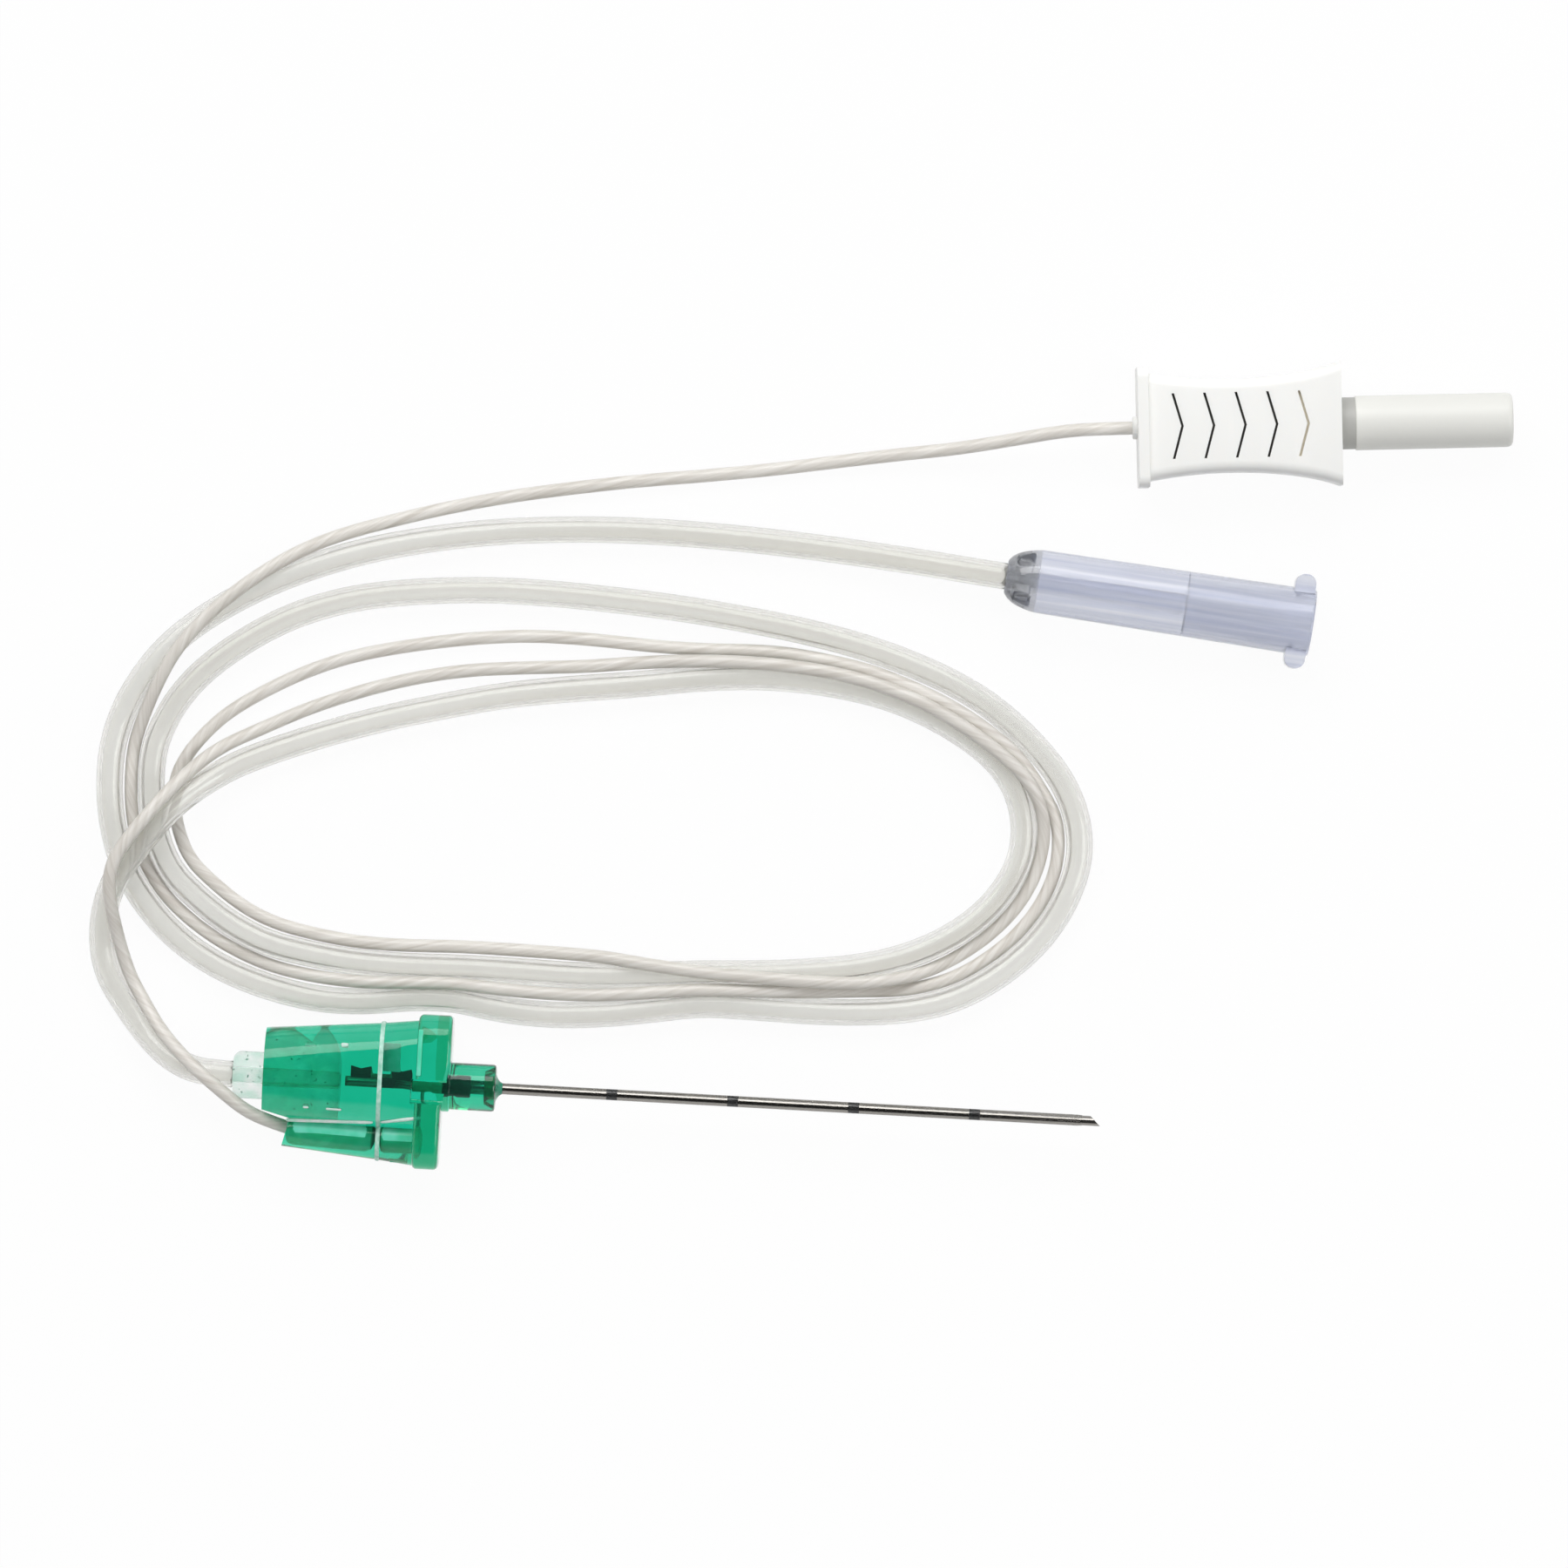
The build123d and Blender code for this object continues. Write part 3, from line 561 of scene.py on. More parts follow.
# Tube socket: a moulded pale green bush with two round ribs, glued into the hub's rear. The
# infusion tube is bonded to the end of its stub, and its bore leads to the cannula.
socket = turned_piece("tube_socket_bush", [
    (-10.0, 0.6), (-10.0, 1.5), (-9.88, 1.7), (-9.7, 1.86), (-9.5, 1.95), (-7.4, 1.95),
    (-7.35, 2.3), (-7.0, 2.46), (-6.5, 2.61), (-6.0, 2.71), (-5.45, 2.75), (-4.9, 2.71),
    (-4.4, 2.61), (-3.9, 2.46), (-3.5, 2.3), (-3.3, 2.52), (-3.05, 2.71), (-2.8, 2.84),
    (-2.58, 2.9), (-2.25, 2.87), (-1.9, 2.73), (-1.55, 2.45), (-1.3, 2.1), (-1.2, 1.75),
    (-1.2, 0.6),
], 72)
place_piece(socket, (0, 0, AXIS_Z))
round_edges(socket, 0)

# Clear ABS, tinted pale green and moulded: milky in its wall, with darker specks where the
# adhesive has run between the bush and the tube. Its index is the one against the hub's own
# plastic round it, so that it hardly bends the light in there.
MILK_CLOUD = 1.6
GLUE_SPECK = 0.45

pale_green = finish_of("moulded_pale_green_abs", "ecfff8", 0.15, transmission=0.8, IOR=1.12)
clouds = add_node(
    pale_green, "ShaderNodeTexNoise", values={"Scale": 1 / (MILK_CLOUD * MM), "Detail": 2.0},
    links={"Vector": "Object"}
)
milk = two_shades(pale_green, clouds, "d6f6e9", "ffffff", ends=(0.35, 0.65))
specks = add_node(
    pale_green, "ShaderNodeTexNoise", values={"Scale": 1 / (GLUE_SPECK * MM), "Detail": 3.0},
    links={"Vector": "Object"}
)
sparse = add_node(
    pale_green, "ShaderNodeMapRange", values={"From Min": 0.66, "From Max": 0.7},
    links={"Value": specks}
)
add_node(
    pale_green, "ShaderNodeMix", data_type="RGBA", values={7: linear("2f7f62")},
    links={0: sparse, 6: milk}, into="Base Color", output=2
)
wear(socket, pale_green)
stands_for(socket, "tube_socket")


# Painted light in the hub, in two pale milky paints. Mint rods along the boss paint the light band
# along its top, and thin ribs paint the highlight lines along the barrel above it and on the wings'
# rear edge. Small pale blocks paint glints on the boss and over the socket, and a pale pad lies
# under the top of the front shell.
# The white paint makes the painted highlight lines, the painted glints over the socket and the pale
# pad; the mint paint makes the painted band on the boss, the wing edge and the boss glint.
pale_patch_and_highlight_paint = finish_of("pale_patch_and_painted_highlight", "e2fbf2", 0.3, transmission=0.1, IOR=1.5)
two_shades(pale_patch_and_highlight_paint, faint_ripple(pale_patch_and_highlight_paint, 0.8, 0.05), "ccf6e6", "ffffff")
mint_highlight_paint = finish_of("painted_mint_highlight", "7ce8c8", 0.3, transmission=0.2, IOR=1.5)
two_shades(mint_highlight_paint, faint_ripple(mint_highlight_paint, 1.5, 0.05), "4cf0c0", "84ffe2")


def highlight_rod(name, start, end, radius, material):
    """A rod between two points, thinner at its ends, that paints a highlight band or line."""
    start, end = Vector(start), Vector(end)
    length = (end - start).length
    strand = turned_piece(name, [
        (0, 0), (0, radius * 0.6), (length * 0.03, radius * 0.9), (length * 0.1, radius),
        (length * 0.9, radius), (length * 0.97, radius * 0.85), (length, radius * 0.5), (length, 0),
    ], 20)
    place_piece(strand, start, end - start)
    round_edges(strand, 0)
    wear(strand, material)
    return strand


highlight_and_patch_parts = [
    # Painted highlights: the light band on the boss and the highlight lines along the barrel above
    # it.
    highlight_rod("boss_highlight_band_rear", (-5.3, -4.2, 4.165), (1.9, -4.51, 4.35), 1.1, mint_highlight_paint),
    highlight_rod("boss_highlight_band_front", (2.5, -4.5, 4.4), (5.9, -4.45, 4.75), 1.13, mint_highlight_paint),
    highlight_rod("barrel_highlight_line_rear", (-5.35, -3.47, 5.56), (1.8, -3.27, 6.15), 0.17, pale_patch_and_highlight_paint),
    highlight_rod("barrel_highlight_line_front", (2.45, -3.2, 6.2), (5.75, -2.68, 7.16), 0.15, pale_patch_and_highlight_paint),
]
# A pale pad under the front shell's top, then a painted glint on the boss, a painted highlight on
# the wings' rear edge and four painted glints over the socket.
for name, low, high, edge, material in (
    ("pale_patch", (2.45, 1.0, 6.3), (3.85, 3.2, 6.4), 0.04, pale_patch_and_highlight_paint),
    ("boss_glint", (3.3, -6.55, 3.9), (4.8, -6.0, 4.3), 0.06, mint_highlight_paint),
    ("wing_edge_highlight", (5.2, 0.75, 7.3), (5.6, 4.6, 7.62), 0.1, mint_highlight_paint),
    ("socket_glint", (-4.1, 2.65, 6.75), (-3.2, 2.9, 7.0), 0.1, pale_patch_and_highlight_paint),
    ("socket_glint", (-1.1, 2.75, 7.05), (-0.5, 3.15, 7.3), 0.1, pale_patch_and_highlight_paint),
    ("socket_glint", (-4.0, -2.4, 6.75), (-3.5, -2.0, 7.05), 0.1, pale_patch_and_highlight_paint),
    ("socket_glint", (-2.1, -2.45, 6.8), (-0.8, -2.2, 7.07), 0.1, pale_patch_and_highlight_paint),
):
    part = block(name, low, high)
    bpy.ops.mesh.bevel(offset=edge * MM, segments=3)
    round_edges(part, 0)
    wear(part, material)
    highlight_and_patch_parts.append(part)
highlights_in_hub = joined(highlight_and_patch_parts, "painted_highlights_in_hub")
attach(highlights_in_hub, "root")


# Rear shell of the hub: an oval barrel with a boss along its near side, where the lead goes in.
# It is moulded in clear green plastic, and the tube socket is glued into its rear.
HUB_REAR_X = -7.4
HUB_HEIGHT = 7.6
SEAM_X = 2.05
BARREL_Z = 3.75
BARREL_HEIGHT = 7.7
BOSS_SEAM = (SEAM_X, -4.75, AXIS_Z, 3.3, 3.3, 1.64)
BODY_SEAM = (SEAM_X, 0.6, BARREL_Z, 8.6, BARREL_HEIGHT, 3.0)
LEAD_EXIT = (-5.3, -4.15, 3.8)
LEAD_HEADING = (-1.85, 0.5, 0)


def lofted(name, sections):
    """Rounded outlines across x, each bridged to the next and closed at both ends.

    A section is its x, its middle's y and z, its width, its height and its corner radius.
    """
    piece = None
    for x, y, z, width, height, radius in sections:
        middle = Vector((x, y, z)) * MM
        bpy.ops.mesh.primitive_plane_add(size=MM, location=middle, rotation=(0, math.pi / 2, 0))
        if piece is None:
            piece = bpy.context.object
            piece.name = piece.data.name = name
            bpy.ops.object.transform_apply()
            open_mesh()
        bpy.ops.transform.resize(value=(1, width, height), center_override=middle)
        bpy.ops.mesh.bevel(offset=radius * MM, segments=10, affect="VERTICES")
    bpy.ops.mesh.select_all(action="SELECT")
    bpy.ops.mesh.delete(type="ONLY_FACE")
    for rear, front in zip(sections, sections[1:]):
        pick(piece, "EDGE", lambda e: all(
            min(abs(v.co.x / MM - rear[0]), abs(v.co.x / MM - front[0])) < 0.01 for v in e.verts
        ) and abs(e.verts[0].co.x - e.verts[1].co.x) < 0.01 * MM)
        bpy.ops.mesh.bridge_edge_loops()
    for end in (sections[0], sections[-1]):
        pick(piece, "EDGE", lambda e: all(abs(v.co.x / MM - end[0]) < 0.01 for v in e.verts))
        bpy.ops.mesh.edge_face_add()
    bpy.ops.mesh.select_all(action="SELECT")
    bpy.ops.mesh.normals_make_consistent(inside=False)
    bpy.ops.object.mode_set(mode="OBJECT")
    return piece


def combine(piece, other, operation):
    """Adds a piece to another, or cuts it out, and takes the used piece away."""
    take(piece)
    joint = piece.modifiers.new("combined", "BOOLEAN")
    joint.operation = operation
    joint.solver = "EXACT"
    joint.object = other
    joint.material_mode = "TRANSFER"
    bpy.ops.object.modifier_apply(modifier=joint.name)
    bpy.data.objects.remove(other)


def flatten_underside(piece):
    """Cuts a piece off level at the table."""
    take(piece)
    open_mesh()
    bpy.ops.mesh.bisect(plane_co=(0, 0, 0), plane_no=(0, 0, -1), clear_outer=True, use_fill=True)
    bpy.ops.object.mode_set(mode="OBJECT")


hub_rear = lofted("hub_rear_shell", [
    (HUB_REAR_X, 0.225, BARREL_Z, 7.65, BARREL_HEIGHT, 3.3), BODY_SEAM
])
flatten_underside(hub_rear)
combine(hub_rear, lofted("rear_boss", [(-8.0, -4.15, AXIS_Z, 2.7, 2.7, 1.34), BOSS_SEAM]), "UNION")
behind_lead = block("behind_lead", (0, -0.85, -8), (16, 16, 8))
place_piece(behind_lead, LEAD_EXIT, LEAD_HEADING)
combine(hub_rear, behind_lead, "DIFFERENCE")
round_edges(hub_rear, 0.12)


# Clear green ABS, injection moulded: deep emerald in the thick wall and lighter where it is
# thin, glossy, with slow flow waves that bend its reflections. Towards the rear end its colour is
# painted paler in swirls: painted reflections, for the bright swirls of light in the shell there.
FLOW_WAVE = 3.0
TINT_DEPTH = 610.0
SHEEN_SWIRL = 1.8
SHEEN_END_X = -0.6

emerald = finish_of("moulded_emerald_abs", "5fdcb8", 0.05, transmission=0.95, IOR=1.45)
shades = two_shades(emerald, faint_ripple(emerald, FLOW_WAVE, 0.03), "54d6b0", "6be2c0")
distance = add_node(emerald, "ShaderNodeSeparateXYZ", links={0: "Object"})
# Painted reflection: towards the rear end the colour turns paler in swirls.
toward_rear_end = add_node(
    emerald, "ShaderNodeMapRange", links={"Value": distance.outputs["X"]},
    values={"From Min": SHEEN_END_X * MM, "From Max": (SHEEN_END_X - 1.5) * MM}
)
sheen_swirls = add_node(
    emerald, "ShaderNodeTexNoise", links={"Vector": "Object"},
    values={"Scale": 1 / (SHEEN_SWIRL * MM), "Detail": 3.0, "Distortion": 1.2}
)
drawn = add_node(
    emerald, "ShaderNodeMapRange", links={"Value": sheen_swirls},
    values={"From Min": 0.42, "From Max": 0.6, "To Min": 0.15, "To Max": 1.0}
)
painted_sheen = add_node(
    emerald, "ShaderNodeMath", operation="MULTIPLY", links={0: toward_rear_end, 1: drawn}
)
add_node(
    emerald, "ShaderNodeMix", data_type="RGBA", values={7: linear("74f4cb")},
    links={0: painted_sheen, 6: shades}, into="Base Color", output=2
)
tint = add_node(
    emerald, "ShaderNodeVolumeAbsorption",
    values={"Color": (0, 0.86, 0.78, 1), "Density": TINT_DEPTH}
)
body_of_it = emerald.node_tree.nodes["Material Output"].inputs["Volume"]
emerald.node_tree.links.new(tint.outputs["Volume"], body_of_it)
wear(hub_rear, emerald)
stands_for(hub_rear, "hub_rear")


# Front shell of the hub: the barrel and its boss run on to the wings, and a round nose holds the
# cannula. A raised bead round its rear edge is welded to the rear shell.
WING_X = 5.15
WING_FACE_X = 7.95
NOSE_FACE_X = 11.7
NOSE_RADIUS = 1.95
SHOULDER_RADIUS = 2.15


def bevel_edges(piece, width, steps, test):
    """In edit mode, rounds the edges that pass a test, to a width in mm."""
    pick(piece, "EDGE", test)
    bpy.ops.mesh.bevel(offset=width * MM, segments=steps)


def runs_along(edge, axis, least=1.0):
    """Whether an edge covers more than a length in mm along x (0), y (1) or z (2)."""
    return abs(edge.verts[0].co[axis] - edge.verts[1].co[axis]) > least * MM


hub_front = lofted("hub_front_shell", [BODY_SEAM, (6.55, 0.775, 3.57, 9.35, 7.34, 2.6)])
flatten_underside(hub_front)
combine(hub_front, lofted("front_boss", [BOSS_SEAM, (6.4, -4.8, AXIS_Z, 4.2, 4.2, 2.09)]), "UNION")

wings = block("wings", (WING_X, -6.95, 0), (WING_FACE_X, 5.8, HUB_HEIGHT))
divide_at([-1.95, 1.95], across=(0, 1, 0))
pick(wings, "VERT", lambda v: v.co.x / MM > 7.9 and v.co.y / MM < -1.9)
bpy.ops.transform.translate(value=(-0.65 * MM, 0, 0))
bevel_edges(wings, 2.2, 8, lambda e: runs_along(e, 0) and all(
    abs(v.co.y / MM + 0.575) > 6 for v in e.verts
))
bevel_edges(wings, 0.38, 4, lambda e: e.calc_face_angle(0) > math.radians(50))
combine(hub_front, wings, "UNION")

nose = turned_piece("nose", [
    (WING_X + 0.5, 0), (WING_X + 0.5, SHOULDER_RADIUS), (WING_FACE_X - 0.1, SHOULDER_RADIUS),
    (WING_FACE_X, SHOULDER_RADIUS - 0.1), (WING_FACE_X, NOSE_RADIUS),
    (NOSE_FACE_X - 0.25, NOSE_RADIUS), (NOSE_FACE_X - 0.07, NOSE_RADIUS - 0.07),
    (NOSE_FACE_X, NOSE_RADIUS - 0.25), (NOSE_FACE_X, 0),
], 64)
place_piece(nose, (0, 0, AXIS_Z))
combine(hub_front, nose, "UNION")

notch = block("notch", (4.8, -1.5, HUB_HEIGHT - 1.7), (9.0, 0.5, HUB_HEIGHT + 2))
bevel_edges(notch, 0.35, 4, lambda e: runs_along(e, 0))
combine(hub_front, notch, "DIFFERENCE")

well = turned_piece("adhesive_well", [
    (10.7, 0), (10.7, 1.0), (11.7, 1.3), (11.9, 1.3), (11.9, 0)
], 64)
place_piece(well, (0, 0, AXIS_Z))
combine(hub_front, well, "DIFFERENCE")
round_edges(hub_front, 0.12)
wear(hub_front, emerald)
stands_for(hub_front, "hub_front")

# The bead is squeezed out when the shells are welded. Its colour is painted paler than the shells,
# a painted highlight for the bright line that light draws along the seam.
BEAD_WIDTH = 0.35


def bead_round(name, seam, growths):
    """A loft along the bead: the seam's outline, grown at each distance from the seam in mm."""
    x, y, z, width, height, radius = seam
    return lofted(name, [
        (x + along, y, z, width + wider, height + higher, radius + rounder)
        for along, wider, higher, rounder in growths
    ])


bead = bead_round("weld_bead", BODY_SEAM, [
    (-0.01, 0.2, 0.16, 0.1), (0.1, 0.24, 0.2, 0.12), (BEAD_WIDTH - 0.1, 0.24, 0.2, 0.12),
    (BEAD_WIDTH, 0.12, 0.1, 0.06),
])
flatten_underside(bead)
combine(bead, bead_round("boss_bead", BOSS_SEAM, [
    (-0.01, 0.1, 0.1, 0.05), (0.1, 0.24, 0.24, 0.12), (BEAD_WIDTH - 0.1, 0.24, 0.24, 0.12),
    (BEAD_WIDTH, 0.1, 0.1, 0.05),
]), "UNION")
inner_ends = [(-0.2, -0.3, -0.3, -0.15), (BEAD_WIDTH + 0.2, -0.3, -0.3, -0.15)]
inside_bead = bead_round("inside_bead", BODY_SEAM, inner_ends)
combine(inside_bead, bead_round("inside_boss_bead", BOSS_SEAM, inner_ends), "UNION")
combine(bead, inside_bead, "DIFFERENCE")
round_edges(bead, 0.03)
# Painted highlight: the bead's pale colour.
pale_seam_paint = finish_of("painted_seam_highlight_green", "bdf2df", 0.25, transmission=0.15, IOR=1.52)
two_shades(pale_seam_paint, faint_ripple(pale_seam_paint, 0.4, 0.02), "9fe3cb", "d8fbee")
wear(bead, pale_seam_paint)
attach(bead, "root")


# Adhesive in the nose: a clear green resin, dripped into the well round the cannula and cured.
# It creeps a little way up the coating.
adhesive = turned_piece("nose_adhesive_drop", [
    (10.72, CANNULA_RADIUS - 0.01), (10.72, 0.98), (11.62, 1.26), (11.7, 1.22), (11.78, 0.98),
    (11.88, 0.78), (12.0, 0.62), (12.15, 0.51), (12.25, 0.455), (12.25, CANNULA_RADIUS - 0.01),
], 64)
place_piece(adhesive, (0, 0, AXIS_Z))
round_edges(adhesive, 0)

# Cured acrylate: green and wet-looking, with bubbles that were stirred in.
RESIN_BUBBLE = 0.35

resin = finish_of("cured_green_acrylate", "2fb48c", 0.08, transmission=0.4, IOR=1.5)
bubbles = add_node(
    resin, "ShaderNodeTexVoronoi", feature="SMOOTH_F1",
    values={"Scale": 1 / (RESIN_BUBBLE * MM)}, links={"Vector": "Object"}
)
add_node(
    resin, "ShaderNodeBump", values={"Strength": 0.4, "Distance": 0.03 * MM},
    links={"Height": bubbles}, into="Normal"
)
wear(adhesive, resin)
stands_for(adhesive, "nose_adhesive")


# Luer connector: a long clear tapered body with a lock bar across its mouth. The tube is bonded
# into its rounded rear end, where four windows thin the wall.
LUER_START = (51.5, 44.55, 2.8)
LUER_HEADING = (2.55, -0.25, 0)
LUER_LENGTH = 25.6
LUER_MOUTH_RADIUS = 2.8
LOCK_BAR_SPAN = 7.86
LOCK_BAR_LENGTH = 1.7
LOCK_BAR_HEIGHT = 3.2


def turned_to(material, heading):
    """A place in a piece as it was before it was laid along a level direction."""
    return add_node(
        material, "ShaderNodeMapping", links={"Vector": "Object"},
        values={"Rotation": (0, 0, -math.atan2(heading[1], heading[0]))}
    )


luer = turned_piece("luer_body", [
    (0, 0.7), (0, 1.3), (0.06, 1.45), (0.35, 1.8), (0.75, 2.07), (1.2, 2.27), (1.7, 2.43),
    (2.2, 2.54), (2.6, 2.6), (2.75, 2.62), (23.0, 2.765), (LUER_LENGTH - 0.15, LUER_MOUTH_RADIUS),
    (LUER_LENGTH, LUER_MOUTH_RADIUS - 0.12), (LUER_LENGTH, 2.25), (LUER_LENGTH - 0.1, 2.147),
    (LUER_LENGTH - 10.5, 1.835), (LUER_LENGTH - 10.62, 1.7), (LUER_LENGTH - 10.62, 0.7),
], 96)
for number in range(4):
    window = block("window", (0.7, -0.75, 1.35), (2.2, 0.75, 2.9))
    bevel_edges(window, 0.3, 4, lambda e: runs_along(e, 2))
    bpy.ops.mesh.select_all(action="SELECT")
    bpy.ops.transform.rotate(
        value=math.radians(90 * number + 45), orient_axis="X", center_override=(0, 0, 0)
    )
    combine(luer, window, "DIFFERENCE")
bar_start = LUER_LENGTH - 0.2 - LOCK_BAR_LENGTH
lock_bar = block(
    "lock_bar", (bar_start, -LOCK_BAR_SPAN / 2, -LOCK_BAR_HEIGHT / 2),
    (bar_start + LOCK_BAR_LENGTH, LOCK_BAR_SPAN / 2, LOCK_BAR_HEIGHT / 2),
)
bevel_edges(lock_bar, 0.8, 8, lambda e: runs_along(e, 2))
bpy.ops.object.mode_set(mode="OBJECT")
inside_bar = turned_piece("inside_bar", [
    (bar_start - 1, 0), (bar_start - 1, 2.5), (LUER_LENGTH + 1, 2.5), (LUER_LENGTH + 1, 0),
], 96)
combine(lock_bar, inside_bar, "DIFFERENCE")
combine(luer, lock_bar, "UNION")
place_piece(luer, LUER_START, LUER_HEADING)
round_edges(luer, 0.1)

# Clear polycarbonate, moulded: a cool grey-violet tint in the thick wall, glossy, with draw
# lines along the body from the core that it was moulded on. Its first 2.6 mm is painted grey.
CORE_LINE_WIDTH = 0.5
CORE_LINE_LENGTH = 20.0
GREY_REAR_LENGTH = 2.6

clear = finish_of("moulded_clear_polycarbonate", "e8ebf3", 0.08, transmission=0.7, IOR=1.5)
turned_place = turned_to(clear, LUER_HEADING)
lines = lines_along(clear, turned_place, CORE_LINE_LENGTH, CORE_LINE_WIDTH, Detail=2.0)
shades = two_shades(clear, lines, "d0d5e9", "f4f6fc")
distance = add_node(clear, "ShaderNodeSeparateXYZ", links={0: turned_place})
start = Vector(LUER_START).dot(Vector(LUER_HEADING).normalized())
# The first 2.6 mm from the rear end is painted grey.
past_grey_rear = add_node(
    clear, "ShaderNodeMapRange", links={"Value": distance.outputs["X"]},
    values={"From Min": (start + GREY_REAR_LENGTH) * MM, "From Max": (start + GREY_REAR_LENGTH + 0.15) * MM}
)
add_node(
    clear, "ShaderNodeMix", data_type="RGBA", values={6: linear("c0c2c6")},
    links={0: past_grey_rear, 7: shades}, into="Base Color", output=2
)
add_node(
    clear, "ShaderNodeBump", values={"Strength": 0.5, "Distance": 0.05 * MM},
    links={"Height": lines}, into="Normal"
)
wear(luer, clear)
stands_for(luer, "luer_connector")


# Infusion tube: soft clear tubing, 2.2 mm across with a 1.3 mm bore, bonded to the hub's socket
# and into the luer connector. It lies in the loops that it was coiled in.
TUBE_LENGTH = 0.4704
TUBE_DIAMETER = 0.0022
TUBE_WALL = 0.00045


def level(height, *run):
    """A run of a cord's route at one height, in mm."""
    return [(x, y, height) for x, y in run]


TUBE_ROUTE = [(x * MM, y * MM, z * MM) for x, y, z in (
    (-10, 0, 3.8), (-11.85, 0, 3.8), (-13.8, 0.3, 3.4), (-15.7, 1.3, 2.6), (-17.5, 2.95, 1.65),
    (-19.35, 5.2, 1.15), (-21, 7.65, 1.1), (-21.6, 10.15, 1.2), (-21.55, 12.55, 1.95),
    (-21.05, 14.6, 2.95), (-20.25, 16.4, 3.45), (-19.05, 18.15, 3.5), (-17.45, 20.45, 3.5),
    (-15.6, 22.5, 2.9), (-13.45, 24.2, 1.7), *level(1.1, (-11.1, 25.65), (-7.85, 27.05),
    (-3.85, 28.55), (0.75, 30.05), (5.75, 31.35), (10.7, 32.5), (15.7, 33.25), (21.1, 33.9),
    (26.45, 34.75), (31.1, 35.15), (35.45, 35.1), (39.05, 34.7), (42.35, 34.05), (45.65, 32.9),
    (48.8, 31.3), (51.6, 29.35), (53.4, 26.95), (54.25, 24), (54, 21), (52.55, 18.15),
    (50.4, 15.8), (47.75, 13.95), (44.6, 12.5), (41.05, 11.55), (36.75, 10.95), (32.1, 10.55),
    (27.8, 10.35), (23.5, 9.95), (18.45, 9.6), (13.4, 9.7), (8.35, 9.75), (3.3, 9.6), (-1, 9.75),
    (-5, 10.3), (-8.3, 11), (-11.4, 12.5), (-14.15, 14.5), (-16.15, 16.35), (-17.45, 18.8),
    (-18.1, 21.75), (-18.3, 24.6), (-18.05, 27.15), (-16.9, 29.95), (-15.2, 32.35), (-13, 34.45),
    (-9.7, 36.8), (-6.2, 38.6), (-1.95, 39.95), (3.05, 40.7), (8.8, 41.15), (14.55, 41.1),
    (20.35, 40.8), (25.4, 40.4), (29.75, 39.9), (33.75, 39.35), (37.4, 38.7), (41.05, 37.85),
    (44.7, 36.7), (48.05, 35.35), (51.2, 33.6), (54.4, 31), (57, 28.15), (58.55, 25.05),
    (59, 21.5), (57.9, 17.75), (55.85, 14.4), (52.8, 11.5), (49.3, 9.35), (45.55, 8.25),
    (41.25, 7.8), (36.95, 7.7), (32.6, 7.8), (28.25, 7.85), (24, 7.1), (19.7, 6.45), (15.05, 6.2),
    (11.05, 6.55), (7.8, 7.15), (4.2, 7.05), (0.6, 6.5), (-3.35, 6.45), (-7.7, 7.25),
    (-11.75, 8.65), (-15.35, 10.8), (-18.2, 13.6), (-20.35, 16.9), (-21.4, 20.45), (-21.75, 23.7),
    (-21.6, 26.95), (-20.7, 30), (-19.25, 32.7), (-17.3, 35.25), (-14.45, 37.7), (-10.6, 40.1),
    (-6.75, 41.95), (-2.15, 43.65), (2.85, 44.9), (8.55, 45.9), (14.3, 46.45), (20.05, 46.7),
    (25.8, 46.65), (31.55, 46.4), (36.6, 46.05)), (41.2, 45.65, 1.4), (45.7, 45.2, 2.3),
    (48.95, 44.8, 2.8), (51.5, 44.55, 2.8),
)]


def swept_wall(name, route, diameter, sides):
    """A mesh tube along a smooth line through a route. Returns it with the line's points.

    The points are read while the line has no thickness.
    """
    curve = bpy.data.curves.new(name, "CURVE")
    curve.dimensions = "3D"
    curve.resolution_u = 8
    spline = curve.splines.new("NURBS")
    spline.points.add(len(route) - 1)
    for point, place in zip(spline.points, route):
        point.co = (*place, 1)
    spline.order_u = 3
    spline.use_endpoint_u = True
    line = bpy.data.objects.new(name, curve)
    bpy.context.collection.objects.link(line)
    bpy.context.view_layer.update()
    shown = line.evaluated_get(bpy.context.evaluated_depsgraph_get())
    bare = bpy.data.meshes.new_from_object(shown)
    points = [tuple(vertex.co) for vertex in bare.vertices]
    bpy.data.meshes.remove(bare)
    curve.bevel_depth = diameter / 2
    curve.bevel_resolution = sides // 2 - 2
    take(line)
    bpy.ops.object.convert(target="MESH")
    bpy.ops.object.shade_smooth()
    return bpy.context.object, points


tube, tube_points = swept_wall("tubing", TUBE_ROUTE, TUBE_DIAMETER, 24)
hollow = tube.modifiers.new("wall", "SOLIDIFY")
hollow.thickness = TUBE_WALL
hollow.offset = -1
bpy.ops.object.modifier_apply(modifier=hollow.name)

# Soft PVC, extruded: clear with a faint warm haze, and broad faint bands along it from the die.
BAND_LENGTH = 60.0
BANDS_ROUND = 3.0

soft = finish_of("soft_clear_pvc", "fcfcf9", 0.12, transmission=0.8, IOR=1.4)
stretch = add_node(
    soft, "ShaderNodeMapping", links={"Vector": "UV"},
    values={"Scale": (TUBE_LENGTH / (BAND_LENGTH * MM), BANDS_ROUND, 1)}
)
bands = add_node(
    soft, "ShaderNodeTexNoise", values={"Scale": 1.0, "Detail": 2.0}, links={"Vector": stretch}
)
two_shades(soft, bands, "f4f3ee", "fffffd")
wear(tube, soft)
stands_for(tube, "infusion_tube")


